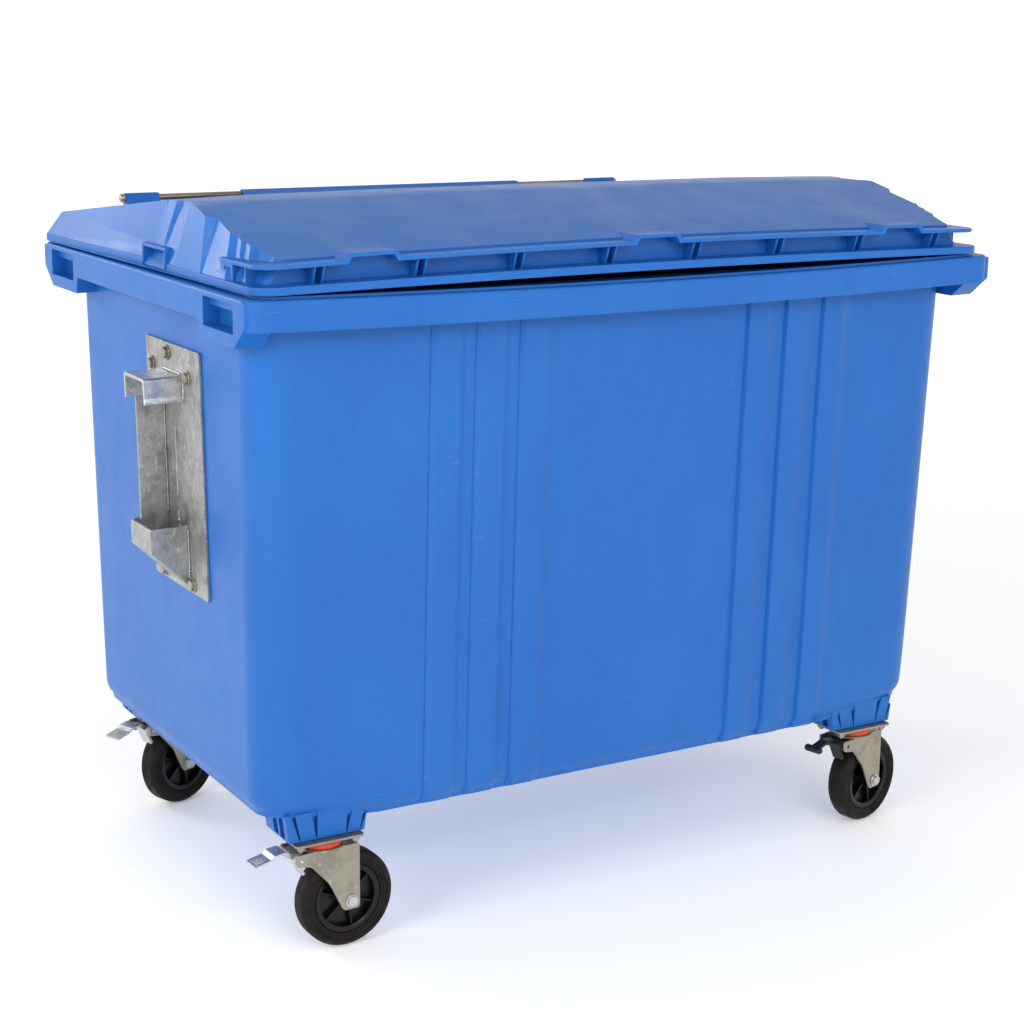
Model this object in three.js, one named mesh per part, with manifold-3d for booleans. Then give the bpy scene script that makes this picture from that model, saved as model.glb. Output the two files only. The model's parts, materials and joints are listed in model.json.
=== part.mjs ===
// Four-wheeled plastic waste container with a hinged lid, lifting brackets and braked swivel casters.
// Millimetres, +Z up. The container's front faces -Y and its length lies along X.

import * as THREE from 'three';
import { mergeVertices } from 'three/addons/utils/BufferGeometryUtils.js';
import Module from 'manifold-3d';

const wasm = await Module();
wasm.setup();

// ---------------------------------------------------------------- driving dimensions

const FIT_GAP = 0.3;

// Tub: y is measured from the middle of the rim.
const RIM_HALF_LENGTH = 685;
const RIM_HALF_DEPTH = 442.5;
const RIM_TOP = 1040;
const RIM_HEIGHT = 45;
const RIM_WALL = 5;
const RIM_CORNER = 26;
const TUB_WALL = 6;
const TUB_CORNER = 60;
const TUB_FLOOR_TOP = 208;
const TUB_BOTTOM = 200;
const TUB_MIDDLE_Z = 235;
const TUB_TOP = { z: 1000, halfX: 650, front: -385, rear: 378 };
const TUB_BASE = { z: TUB_MIDDLE_Z, halfX: 639, front: -360, rear: 378 };

// Raised ribs on the tub's front: two groups of three.
const RIB_HEIGHT = 6.5;
const RIB_WIDTH = 46;
const RIB_PITCH = 77;
const RIB_GROUP_STARTS = [-364, 215];
const RIBS_PER_GROUP = 3;

// Hollow corner blocks at the ends of the rim.
const BLOCK_BOTTOM = 968;
const BLOCK_INNER_Y = 265;
const BLOCK_OUTER_Y = 434;
const POCKET_INNER_Y = 285;
const POCKET_OUTER_Y = 395;
const POCKET_BOTTOM = 988;
const POCKET_TOP = 1031;
const POCKET_DEPTH = 28;
const POCKET_STEP = 1017;
const POCKET_STEP_DEPTH = 13;
const BLOCK_DEPTH = 45;

// Lid: sits just above the rim and slopes to the front and to the back.
const LID_BOTTOM = 1044;
const LID_HALF_LENGTH = 668;
const LID_END_LEAN = 0.22;
const LID_FRONT = -437;
const LID_REAR = 440;
const LID_CORNER = 35;
const LID_WALL = 5;
const LID_CROWN = 9;
const LIP_TOP = 1056;
const LEDGE_BOTTOM = 1078;
const LEDGE_TOP = 1085;
const LID_FACE_Y = -402;
const CREASE = { y: -211, z: 1136 };
const RIDGE = { y: -165, z: 1146 };
const LID_REAR_TOP = 1088;
const NOTCH_CENTRES = [-487, 0, 488];
const NOTCH_WIDTH = 72;
const NOTCH_RISE = 9;
const END_GRIP = { front: -127, rear: 0, top: 1080, thickness: 6, reach: 680 };

// Hinge: one rod behind the rim, in two lugs of the tub and one long barrel of the lid.
const HINGE = { y: 488, z: 1104 };
const ROD_RADIUS = 6;
const ROD_BORE = 6.4;
const BARREL_RADIUS = 13;
const BARREL_HALF_LENGTH = 293;
const LUG_INNER_X = 455;
const LUG_OUTER_X = 519;
const CAP_RADIUS = 9.5;
const CAP_LENGTH = 8;

// Lifting bracket on each end of the tub.
const BRACKET_THICKNESS = 5;
const PLATE_BOTTOM = 543;
const PLATE_TOP = 930;
const PLATE_FRONT = -185;
const PLATE_REAR = 35;
const ARM_FRONT = -116;
const ARM_REAR = -30;
const HOOK_REACH = 62;
const HOOK_BOTTOM = 845;
const HOOK_TOP = 886;
const WEB_REACH = 46;
const CUP_TOP = 650;
const CUP_LIP_BOTTOM = 613;
const CUP_BOTTOM = 560;
const BRACKET_BOLTS = [
  [-137, 885],
  [-56, 914],
  [10, 888],
  [-128, 557],
  [-9, 557],
];
const BOLT_HEAD_RADIUS = 9.5;
const BOLT_HEAD_HEIGHT = 7;

// Casters: wheel, fork, plate and brake. Local +X is the direction in which the wheel trails.
const WHEEL_RADIUS = 80;
const WHEEL_SIDES = 36;
const HUB_SIDES = 24;
const TYRE_HALF_WIDTH = 20;
const TYRE_INNER_RADIUS = 57;
const TRAIL = 39;
const PLATE_HALF_X = 58;
const PLATE_HALF_Y = 39;
const CASTER_PLATE_TOP = 193;
const CASTER_PLATE_THICKNESS = 4;
const FORK_TOP = 177;
const FORK_INNER_Y = 25;
const FORK_SHEET = 4;
const SEAL_RADIUS = 34;
const KINGPIN_RADIUS = 7.7;
const AXLE_RADIUS = 5;
const PEDAL_PIVOT = { x: -46, z: 164 };
const CASTERS = [
  { tag: 'fl', x: -528.7, y: -325, trailDegrees: 2, pedal: 'zinc' },
  { tag: 'fr', x: 528.7, y: -325, trailDegrees: 13.8, pedal: 'black' },
  { tag: 'rl', x: -528.7, y: 355, trailDegrees: 21.7, pedal: 'zinc' },
  { tag: 'rr', x: 528.7, y: 355, trailDegrees: 8, pedal: 'zinc' },
];
const PAD_HALF_X = 62;

// The frame's origin lies on the floor under the middle of the whole object.
const FRAME_SHIFT_Y = (RIM_HALF_DEPTH - HINGE.y - BARREL_RADIUS) / 2;

// ---------------------------------------------------------------- materials

const FINISHES = {
  bluePlastic: { color: 0x3c78d0, roughness: 0.45, metalness: 0 },
  galvanised: { color: 0xb9bdbf, roughness: 0.45, metalness: 0.9 },
  zinc: { color: 0xb8b4a8, roughness: 0.4, metalness: 0.9 },
  steelRod: { color: 0x8c8478, roughness: 0.35, metalness: 0.9 },
  orangePlastic: { color: 0xd9472b, roughness: 0.5, metalness: 0 },
  blackPlastic: { color: 0x15161a, roughness: 0.5, metalness: 0 },
  rubber: { color: 0x2b2725, roughness: 0.8, metalness: 0 },
};

// ---------------------------------------------------------------- solid modelling helpers

// A closed geometry as a solid that can be joined and cut.
function solid(geometry) {
  const bare = geometry.clone();
  bare.deleteAttribute('normal');
  bare.deleteAttribute('uv');
  const merged = mergeVertices(bare, 1e-3);
  const corners = merged.index.array;
  const triangles = [];
  for (let i = 0; i < corners.length; i += 3) {
    const [a, b, c] = corners.subarray(i, i + 3);
    if (a !== b && b !== c && c !== a) {
      triangles.push(a, b, c);
    }
  }
  return new wasm.Manifold(new wasm.Mesh({
    numProp: 3,
    vertProperties: new Float32Array(merged.attributes.position.array),
    triVerts: new Uint32Array(triangles),
  }));
}

function geometryOf(body) {
  const { vertProperties, triVerts } = body.getMesh();
  const geometry = new THREE.BufferGeometry();
  geometry.setAttribute('position', new THREE.BufferAttribute(vertProperties, 3));
  geometry.setIndex(new THREE.BufferAttribute(triVerts, 1));
  geometry.computeVertexNormals();
  return geometry;
}

const join = (bodies) => bodies.reduce((whole, body) => whole.add(body));

function box([x0, x1], [y0, y1], [z0, z1]) {
  const geometry = new THREE.BoxGeometry(x1 - x0, y1 - y0, z1 - z0);
  geometry.translate((x0 + x1) / 2, (y0 + y1) / 2, (z0 + z1) / 2);
  return solid(geometry);
}

const polygon = (points) => new THREE.Shape(points.map(([u, v]) => new THREE.Vector2(u, v)));

function extrude(shape, depth, steps = 1) {
  return new THREE.ExtrudeGeometry(shape, { depth, steps, bevelEnabled: false, curveSegments: 6 });
}

// Extrusions of an outline along each axis. The outline's two coordinates are the other two
// axes: (y, z) along X, (x, z) along Y and (x, y) along Z.
function prismX(shape, [x0, x1], steps = 1) {
  const geometry = extrude(shape, x1 - x0, steps);
  const basis = new THREE.Matrix4().makeBasis(
    new THREE.Vector3(0, 1, 0), new THREE.Vector3(0, 0, 1), new THREE.Vector3(1, 0, 0));
  return geometry.applyMatrix4(basis).translate(x0, 0, 0);
}

function prismY(shape, [y0, y1]) {
  const geometry = extrude(shape, y1 - y0);
  const basis = new THREE.Matrix4().makeBasis(
    new THREE.Vector3(1, 0, 0), new THREE.Vector3(0, 0, 1), new THREE.Vector3(0, -1, 0));
  return geometry.applyMatrix4(basis).translate(0, y1, 0);
}

function prismZ(shape, [z0, z1], steps = 1) {
  return extrude(shape, z1 - z0, steps).translate(0, 0, z0);
}

function rodX(radius, [x0, x1], y, z, sides = 16) {
  const geometry = new THREE.CylinderGeometry(radius, radius, x1 - x0, sides);
  return solid(geometry.rotateZ(Math.PI / 2).translate((x0 + x1) / 2, y, z));
}

function rodY(radius, [y0, y1], x, z, sides = 16) {
  const geometry = new THREE.CylinderGeometry(radius, radius, y1 - y0, sides);
  return solid(geometry.translate(x, (y0 + y1) / 2, z));
}

function rodZ(radius, [z0, z1], x, y, sides = 16) {
  const geometry = new THREE.CylinderGeometry(radius, radius, z1 - z0, sides);
  return solid(geometry.rotateX(Math.PI / 2).translate(x, y, (z0 + z1) / 2));
}

// A turned body about Z from [radius, height] points listed from the bottom up.
function turned(points, sides) {
  const outline = points.map(([r, z]) => new THREE.Vector2(r, z));
  return new THREE.LatheGeometry(outline, sides).rotateX(Math.PI / 2);
}

// A rectangle with rounded corners, in the XY plane.
function roundedRectangle(halfX, front, rear, radius) {
  const shape = new THREE.Shape();
  shape.absarc(halfX - radius, rear - radius, radius, 0, Math.PI / 2);
  shape.absarc(radius - halfX, rear - radius, radius, Math.PI / 2, Math.PI);
  shape.absarc(radius - halfX, front + radius, radius, Math.PI, 1.5 * Math.PI);
  shape.absarc(halfX - radius, front + radius, radius, 1.5 * Math.PI, 2 * Math.PI);
  return shape;
}

// A body whose rounded rectangle changes size from level to level.
function draftedBody(levels, radius) {
  const base = levels[0];
  const shape = roundedRectangle(base.halfX, base.front, base.rear, radius);
  const geometry = prismZ(shape, [0, levels.length - 1], levels.length - 1);
  const points = geometry.attributes.position;
  const middleY = (base.front + base.rear) / 2;
  for (let i = 0; i < points.count; i += 1) {
    const level = levels[Math.round(points.getZ(i))];
    const x = points.getX(i);
    const y = points.getY(i);
    const growX = level.halfX - base.halfX;
    const growY = y > middleY ? level.rear - base.rear : level.front - base.front;
    points.setXYZ(i, x + Math.sign(x) * growX, y + growY, level.z);
  }
  return solid(geometry);
}

// ---------------------------------------------------------------- tub

function tubSectionAt(z, inset = 0) {
  const share = (z - TUB_BASE.z) / (TUB_TOP.z - TUB_BASE.z);
  const between = (key) => TUB_BASE[key] + (TUB_TOP[key] - TUB_BASE[key]) * share;
  return {
    z,
    halfX: between('halfX') - inset,
    front: between('front') + inset,
    rear: between('rear') - inset,
  };
}

// The walls and the rounded bottom edge, moved in by the wall's thickness for the hollow.
function tubBody(bottom, top, wall) {
  const rounding = TUB_MIDDLE_Z - TUB_BOTTOM;
  const levels = [0, 0.12, 0.4, 1].map((share) => {
    const inset = rounding * (1 - Math.sqrt(1 - (1 - share) ** 2));
    return tubSectionAt(bottom + share * rounding, wall + inset);
  });
  levels.push(tubSectionAt(top, wall));
  return draftedBody(levels, TUB_CORNER);
}

function frontRib(startX) {
  const bottom = TUB_BOTTOM + 14;
  const shape = polygon([
    [startX, 0], [startX + 8, -RIB_HEIGHT], [startX + RIB_WIDTH - 14, -RIB_HEIGHT],
    [startX + RIB_WIDTH, 0], [startX + RIB_WIDTH, 4], [startX, 4],
  ]);
  const geometry = prismZ(shape, [bottom, RIM_TOP - 20]);
  const points = geometry.attributes.position;
  for (let i = 0; i < points.count; i += 1) {
    points.setY(i, points.getY(i) + tubSectionAt(points.getZ(i)).front);
  }
  return solid(geometry);
}

function cornerBlock() {
  const outline = [
    [BLOCK_INNER_Y, RIM_TOP - 4], [BLOCK_INNER_Y, BLOCK_BOTTOM + 26], [BLOCK_INNER_Y + 8, BLOCK_BOTTOM],
    [POCKET_OUTER_Y, BLOCK_BOTTOM], [BLOCK_OUTER_Y, BLOCK_BOTTOM + 32], [BLOCK_OUTER_Y, RIM_TOP - 4],
  ];
  return solid(prismX(polygon(outline), [RIM_HALF_LENGTH - BLOCK_DEPTH, RIM_HALF_LENGTH]));
}

// The pocket in a corner block. Its upper part is shallower than its lower part.
function cornerPocket() {
  const width = [POCKET_INNER_Y, POCKET_OUTER_Y];
  const mouth = RIM_HALF_LENGTH + 1;
  const deep = box([RIM_HALF_LENGTH - POCKET_DEPTH, mouth], width, [POCKET_BOTTOM, POCKET_STEP]);
  const shallow = box([RIM_HALF_LENGTH - POCKET_STEP_DEPTH, mouth], width, [POCKET_STEP - 1, POCKET_TOP]);
  return deep.add(shallow);
}

function casterPad(caster) {
  const frontReach = [TUB_BASE.front - 2, caster.y + 62];
  const rearReach = [caster.y - 62, caster.y + PLATE_HALF_Y];
  const reach = caster.y < 0 ? frontReach : rearReach;
  const bottom = CASTER_PLATE_TOP + FIT_GAP;
  const ribCount = 5;
  const ribPitch = (2 * PAD_HALF_X) / ribCount;
  let pad = box([caster.x - PAD_HALF_X, caster.x + PAD_HALF_X], reach, [bottom, 216]);
  for (let i = 0; i < ribCount; i += 1) {
    const left = caster.x - PAD_HALF_X + i * ribPitch + 3;
    const face = caster.y < 0 ? [reach[0] - 1, reach[0] + 6] : [reach[1] - 6, reach[1] + 1];
    pad = pad.subtract(box([left, left + ribPitch - 6], face, [bottom + 5, 217]));
  }
  return pad;
}

// One hinge lug or barrel: a round end on the hinge's axis and an arm to the wall at foot.
function hingeArm(foot, span) {
  const shape = new THREE.Shape();
  shape.moveTo(foot.y, foot.low);
  shape.absarc(HINGE.y, HINGE.z, BARREL_RADIUS, -Math.PI / 4, Math.PI * 0.75);
  shape.lineTo(foot.y, foot.high);
  shape.closePath();
  const arm = solid(prismX(shape, span));
  return arm.subtract(rodX(ROD_BORE, [span[0] - 1, span[1] + 1], HINGE.y, HINGE.z));
}

function makeTub() {
  const outside = tubBody(TUB_BOTTOM, RIM_TOP, 0);
  const inside = tubBody(TUB_FLOOR_TOP, RIM_TOP + 10, TUB_WALL);
  const rimShape = roundedRectangle(RIM_HALF_LENGTH, -RIM_HALF_DEPTH, RIM_HALF_DEPTH, RIM_CORNER);
  const channelShape = roundedRectangle(
    RIM_HALF_LENGTH - RIM_WALL, RIM_WALL - RIM_HALF_DEPTH, RIM_HALF_DEPTH - RIM_WALL,
    RIM_CORNER - RIM_WALL);
  const rim = solid(prismZ(rimShape, [RIM_TOP - RIM_HEIGHT, RIM_TOP]));
  const channel = solid(prismZ(channelShape, [RIM_TOP - RIM_HEIGHT - 1, RIM_TOP - RIM_WALL]));
  const pieces = [rim.subtract(channel), outside];
  const hollows = [inside];
  for (const corner of [[-1, -1, 1], [-1, 1, 1], [1, -1, 1], [1, 1, 1]]) {
    pieces.push(cornerBlock().scale(corner));
    hollows.push(cornerPocket().scale(corner));
  }
  for (const caster of CASTERS) {
    pieces.push(casterPad(caster));
  }
  for (const start of RIB_GROUP_STARTS) {
    for (let i = 0; i < RIBS_PER_GROUP; i += 1) {
      pieces.push(frontRib(start + i * RIB_PITCH));
    }
  }
  const foot = { y: RIM_HALF_DEPTH - 2, low: RIM_TOP - RIM_HEIGHT + 4, high: RIM_TOP - 2 };
  pieces.push(hingeArm(foot, [LUG_INNER_X, LUG_OUTER_X]));
  pieces.push(hingeArm(foot, [-LUG_OUTER_X, -LUG_INNER_X]));
  return join(pieces).subtract(join(hollows));
}

// ---------------------------------------------------------------- lid

// The middle of the lid is a little higher than its ends.
const crownAt = (x) => LID_CROWN * (1 - (x / LID_HALF_LENGTH) ** 2);

// The lid's cross-section, extruded along X in steps that follow the crown.
function crownedPrism(points, halfLength) {
  const geometry = prismX(polygon(points), [-halfLength, halfLength], 8);
  const corners = geometry.attributes.position;
  for (let i = 0; i < corners.count; i += 1) {
    if (corners.getZ(i) > LID_BOTTOM + 2) {
      corners.setZ(i, corners.getZ(i) + crownAt(corners.getX(i)));
    }
  }
  return solid(geometry);
}

function lidPlan(inset) {
  const section = (z) => ({
    z,
    halfX: LID_HALF_LENGTH - inset - (z - LID_BOTTOM) * LID_END_LEAN,
    front: LID_FRONT + inset,
    rear: LID_REAR - inset,
  });
  return draftedBody([section(LID_BOTTOM - 2), section(RIDGE.z + 20)], LID_CORNER - inset / 2);
}

function lidRoof(drop, front, bottom) {
  return crownedPrism([
    [front, bottom], [LID_REAR, bottom], [LID_REAR, LID_REAR_TOP - drop],
    [RIDGE.y, RIDGE.z - drop], [CREASE.y, CREASE.z - drop], [LID_FACE_Y + 3, LEDGE_TOP + 4 - drop],
    [front, LEDGE_TOP - drop],
  ], LID_HALF_LENGTH + 10);
}

// The recess between the lip on the rim and the grip ledge above it.
function gripChannel() {
  return crownedPrism([
    [LID_FRONT - 5, LIP_TOP], [LID_FACE_Y, LIP_TOP + 2], [LID_FACE_Y, LEDGE_BOTTOM],
    [LID_FRONT - 5, LEDGE_BOTTOM],
  ], LID_HALF_LENGTH - 24);
}

// A raised place in the ledge, where the fingers go under it.
function fingerNotch(centreX) {
  const lift = crownAt(centreX);
  const outline = [
    [centreX - NOTCH_WIDTH / 2 - 6, LEDGE_TOP + lift - 1],
    [centreX + NOTCH_WIDTH / 2 + 6, LEDGE_TOP + lift - 1],
    [centreX + NOTCH_WIDTH / 2, LEDGE_TOP + lift + NOTCH_RISE],
    [centreX - NOTCH_WIDTH / 2, LEDGE_TOP + lift + NOTCH_RISE],
  ];
  const raised = solid(prismY(polygon(outline), [LID_FRONT + 4, LID_FACE_Y + 40]));
  const under = box(
    [centreX - NOTCH_WIDTH / 2 + 6, centreX + NOTCH_WIDTH / 2 - 6], [LID_FRONT - 5, LID_FACE_Y - 2],
    [LEDGE_BOTTOM - 2, LEDGE_TOP + lift + 2]);
  return { raised, under };
}

function endGrip(side) {
  const { front, rear, top, thickness, reach } = END_GRIP;
  const root = LID_HALF_LENGTH - 12;
  const shelf = box([root, reach], [front, rear], [top - thickness, top]);
  const gusset = polygon([
    [root, LID_BOTTOM + 4], [LID_HALF_LENGTH, LID_BOTTOM + 4], [reach, top - 1], [root, top - 1],
  ]);
  const gussets = [front, rear - thickness].map((y) => solid(prismY(gusset, [y, y + thickness])));
  return join([shelf, ...gussets]).scale([side, 1, 1]);
}

function makeLid() {
  const outside = lidPlan(0).intersect(lidRoof(0, LID_FRONT, LID_BOTTOM));
  const inside = lidPlan(LID_WALL).intersect(lidRoof(LID_WALL, LID_FACE_Y + LID_WALL, LID_BOTTOM - 1));
  const foot = { y: LID_REAR - 2, low: LID_REAR_TOP - 26, high: LID_REAR_TOP - 1 };
  const notches = NOTCH_CENTRES.map(fingerNotch);
  const solidParts = [outside, hingeArm(foot, [-BARREL_HALF_LENGTH, BARREL_HALF_LENGTH])];
  const shell = join([...solidParts, ...notches.map((notch) => notch.raised), endGrip(-1), endGrip(1)]);
  const cuts = join([inside, gripChannel(), ...notches.map((notch) => notch.under)]);
  return shell.subtract(cuts);
}

// ---------------------------------------------------------------- hinge rod

function makeRodCap(side) {
  const start = LUG_OUTER_X + FIT_GAP;
  const cap = rodX(CAP_RADIUS, [start, start + CAP_LENGTH], HINGE.y, HINGE.z, 20);
  const seat = rodX(ROD_RADIUS + FIT_GAP, [start - 1, start + CAP_LENGTH - 3], HINGE.y, HINGE.z);
  return cap.subtract(seat).scale([side, 1, 1]);
}

function makeRod() {
  const end = LUG_OUTER_X + CAP_LENGTH - 3.2;
  return rodX(ROD_RADIUS, [-end, end], HINGE.y, HINGE.z);
}

// ---------------------------------------------------------------- lifting bracket
// Local frame: +X stands out from the tub's end wall, whose face is x = 0.

function makeBracketPlate() {
  return box([FIT_GAP, BRACKET_THICKNESS], [PLATE_FRONT, PLATE_REAR], [PLATE_BOTTOM, PLATE_TOP]);
}

function makeBracketHook() {
  const start = BRACKET_THICKNESS + FIT_GAP;
  const t = BRACKET_THICKNESS;
  const outline = polygon([
    [ARM_FRONT, HOOK_BOTTOM], [ARM_FRONT + t, HOOK_BOTTOM], [ARM_FRONT + t, HOOK_TOP - t],
    [ARM_REAR - t, HOOK_TOP - t], [ARM_REAR - t, HOOK_BOTTOM], [ARM_REAR, HOOK_BOTTOM],
    [ARM_REAR, HOOK_TOP - 4], [ARM_REAR - 4, HOOK_TOP], [ARM_FRONT + 4, HOOK_TOP], [ARM_FRONT, HOOK_TOP - 4],
  ]);
  return solid(prismX(outline, [start, start + HOOK_REACH]));
}

// The open-topped cup below, with the web that runs up to the hook.
function makeBracketCup() {
  const start = BRACKET_THICKNESS + FIT_GAP;
  const t = BRACKET_THICKNESS;
  const reach = start + HOOK_REACH;
  const side = polygon([
    [start, CUP_BOTTOM], [start + t, CUP_BOTTOM - 4], [reach, CUP_LIP_BOTTOM], [reach, CUP_TOP],
    [start, CUP_TOP],
  ]);
  const hollow = polygon([
    [start - 1, CUP_BOTTOM + t + 3], [start + t, CUP_BOTTOM + t + 3], [reach - t, CUP_LIP_BOTTOM + 4],
    [reach - t, CUP_TOP + 1], [start - 1, CUP_TOP + 1],
  ]);
  const cup = solid(prismY(side, [ARM_FRONT, ARM_REAR]));
  const inside = solid(prismY(hollow, [ARM_FRONT + t, ARM_REAR - t]));
  const web = box([start, start + WEB_REACH], [ARM_REAR - t, ARM_REAR], [CUP_TOP - 5, HOOK_BOTTOM - FIT_GAP]);
  return cup.subtract(inside).add(web);
}

function makeBracketBolt([y, z]) {
  const seat = BRACKET_THICKNESS + FIT_GAP;
  return rodX(BOLT_HEAD_RADIUS, [seat, seat + BOLT_HEAD_HEIGHT], y, z, 6);
}

// ---------------------------------------------------------------- casters
// Local frame: origin on the floor under the swivel axis.

const AXLE_HEIGHT = WHEEL_RADIUS;
const WHEEL_FACET = Math.PI / WHEEL_SIDES;

function onAxle(geometry) {
  return solid(geometry.rotateX(Math.PI / 2).translate(TRAIL, 0, AXLE_HEIGHT));
}

// The wheel stands on one of its facets, so its corners lie a little outside the radius.
function makeTyre() {
  const outer = WHEEL_RADIUS / Math.cos(WHEEL_FACET);
  const w = TYRE_HALF_WIDTH;
  const profile = [
    [TYRE_INNER_RADIUS, -w + 3], [outer - 8, -w], [outer, -w + 7], [outer, w - 7],
    [outer - 8, w], [TYRE_INNER_RADIUS, w - 3], [TYRE_INNER_RADIUS, -w + 3],
  ];
  return onAxle(turned(profile, WHEEL_SIDES).rotateZ(WHEEL_FACET));
}

function makeHub() {
  const rim = TYRE_INNER_RADIUS - FIT_GAP - 0.3;
  const bore = AXLE_RADIUS + 0.6;
  const profile = [
    [bore, -24.5], [14, -24.5], [16, -6], [rim - 8, -6], [rim - 6, -16], [rim, -16],
    [rim, 16], [rim - 6, 16], [rim - 8, 6], [16, 6], [14, 24.5], [bore, 24.5], [bore, -24.5],
  ];
  return onAxle(turned(profile, HUB_SIDES));
}

function makeFork() {
  const outer = FORK_INNER_Y + FORK_SHEET;
  const profile = polygon([
    [-56, FORK_TOP], [-56, 160], [-52, 155], [-29, 150], [TRAIL - 15, 70], [TRAIL - 11, 66],
    [TRAIL + 11, 66], [TRAIL + 15, 70], [TRAIL + 15, FORK_TOP],
  ]);
  const cheek = solid(prismY(profile, [-outer, outer]));
  const gap = box([-60, 70], [-FORK_INNER_Y, FORK_INNER_Y], [50, FORK_TOP - FORK_SHEET]);
  const frontGap = box([-60, -32], [-FORK_INNER_Y, FORK_INNER_Y], [50, FORK_TOP + 1]);
  const crown = rodZ(38, [FORK_TOP - FORK_SHEET, FORK_TOP], 0, 0, 24);
  const holes = [
    rodZ(KINGPIN_RADIUS + 0.6, [FORK_TOP - 10, FORK_TOP + 1], 0, 0),
    rodY(AXLE_RADIUS + FIT_GAP, [-40, 40], TRAIL, AXLE_HEIGHT),
    rodY(3.5, [-40, 40], PEDAL_PIVOT.x, PEDAL_PIVOT.z, 12),
  ];
  return cheek.subtract(gap).subtract(frontGap).add(crown).subtract(join(holes));
}

function makeAxleBolt() {
  const face = FORK_INNER_Y + FORK_SHEET + FIT_GAP;
  const head = rodY(9, [-face - 6.5, -face], TRAIL, AXLE_HEIGHT, 6);
  return head.add(rodY(AXLE_RADIUS, [-face - 1, face + 9], TRAIL, AXLE_HEIGHT));
}

function makeAxleNut() {
  const face = FORK_INNER_Y + FORK_SHEET + FIT_GAP;
  const nut = rodY(9, [face, face + 7], TRAIL, AXLE_HEIGHT, 6);
  return nut.subtract(rodY(AXLE_RADIUS + FIT_GAP, [face - 1, face + 8], TRAIL, AXLE_HEIGHT));
}

function makeSeal() {
  const low = FORK_TOP + FIT_GAP;
  const high = CASTER_PLATE_TOP - CASTER_PLATE_THICKNESS - FIT_GAP;
  const profile = [
    [KINGPIN_RADIUS + 1, low], [SEAL_RADIUS, low], [SEAL_RADIUS - 4, high], [KINGPIN_RADIUS + 1, high],
    [KINGPIN_RADIUS + 1, low],
  ];
  return solid(turned(profile, 24));
}

function makeKingPin() {
  const head = FORK_TOP - FORK_SHEET - FIT_GAP;
  const profile = [
    [0, head - 6], [10, head - 6], [14, head - 3], [14, head], [KINGPIN_RADIUS, head],
    [KINGPIN_RADIUS, CASTER_PLATE_TOP], [0, CASTER_PLATE_TOP],
  ];
  return solid(turned(profile, 16));
}

function makeCasterPlate() {
  const low = CASTER_PLATE_TOP - CASTER_PLATE_THICKNESS;
  const plate = box([-PLATE_HALF_X, PLATE_HALF_X], [-PLATE_HALF_Y, PLATE_HALF_Y], [low, CASTER_PLATE_TOP]);
  return plate.subtract(rodZ(KINGPIN_RADIUS + FIT_GAP, [low - 1, CASTER_PLATE_TOP + 1], 0, 0));
}

// The pedal turns between the fork's two ears. Pressing it down swings its shoe to the tyre.
function makeBrakePedal() {
  const { x, z } = PEDAL_PIVOT;
  const body = polygon([
    [x + 6, z + 6], [x - 10, z + 9], [x - 26, z + 16], [x - 46, z + 12], [x - 74, z + 2],
    [x - 72, z - 3], [x - 46, z + 6], [x - 27, z + 10], [x - 8, z - 7], [x + 5, z - 20],
    [x + 11, z - 35], [x + 16, z - 32], [x + 9, z - 8],
  ]);
  const blade = solid(prismY(body, [-17, 17]));
  return blade.add(rodY(3, [-FORK_INNER_Y - FORK_SHEET, FORK_INNER_Y + FORK_SHEET], x, z, 12));
}

// ---------------------------------------------------------------- assembly

const container = new THREE.Group();
container.position.y = FRAME_SHIFT_Y;

function place(parent, name, body, finish) {
  const mesh = new THREE.Mesh(geometryOf(body), new THREE.MeshStandardMaterial(FINISHES[finish]));
  mesh.name = name;
  parent.add(mesh);
  return mesh;
}

place(container, 'tub', makeTub(), 'bluePlastic');
place(container, 'lid', makeLid(), 'bluePlastic');
place(container, 'hinge_rod', makeRod(), 'steelRod');
place(container, 'rod_cap_left', makeRodCap(-1), 'zinc');
place(container, 'rod_cap_right', makeRodCap(1), 'zinc');

// The bracket follows the slope of the tub's end wall.
function placeBracket(side, name) {
  const lean = Math.atan2(TUB_TOP.halfX - TUB_BASE.halfX, TUB_TOP.z - TUB_BASE.z);
  const mirrored = (body) => body.scale([side, 1, 1]);
  const bracket = new THREE.Group();
  bracket.position.set(side * tubSectionAt(0).halfX, 0, 0);
  bracket.rotation.y = side * lean;
  place(bracket, `${name}_plate`, mirrored(makeBracketPlate()), 'galvanised');
  place(bracket, `${name}_hook`, mirrored(makeBracketHook()), 'galvanised');
  place(bracket, `${name}_cup`, mirrored(makeBracketCup()), 'galvanised');
  BRACKET_BOLTS.forEach((bolt, i) => {
    place(bracket, `${name}_bolt_${i + 1}`, mirrored(makeBracketBolt(bolt)), 'zinc');
  });
  container.add(bracket);
}

placeBracket(-1, 'bracket_left');
placeBracket(1, 'bracket_right');

for (const { tag, x, y, trailDegrees, pedal } of CASTERS) {
  const mount = new THREE.Group();
  mount.position.set(x, y, 0);
  place(mount, `plate_${tag}`, makeCasterPlate(), 'zinc');
  place(mount, `seal_${tag}`, makeSeal(), 'orangePlastic');
  place(mount, `king_pin_${tag}`, makeKingPin(), 'zinc');
  const swivel = new THREE.Group();
  swivel.rotation.z = THREE.MathUtils.degToRad(trailDegrees);
  place(swivel, `fork_${tag}`, makeFork(), 'zinc');
  place(swivel, `axle_bolt_${tag}`, makeAxleBolt(), 'zinc');
  place(swivel, `axle_nut_${tag}`, makeAxleNut(), 'zinc');
  place(swivel, `hub_${tag}`, makeHub(), 'blackPlastic');
  place(swivel, `tyre_${tag}`, makeTyre(), 'rubber');
  place(swivel, `brake_pedal_${tag}`, makeBrakePedal(), pedal === 'zinc' ? 'zinc' : 'blackPlastic');
  mount.add(swivel);
  container.add(mount);
}

export default container;
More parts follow.
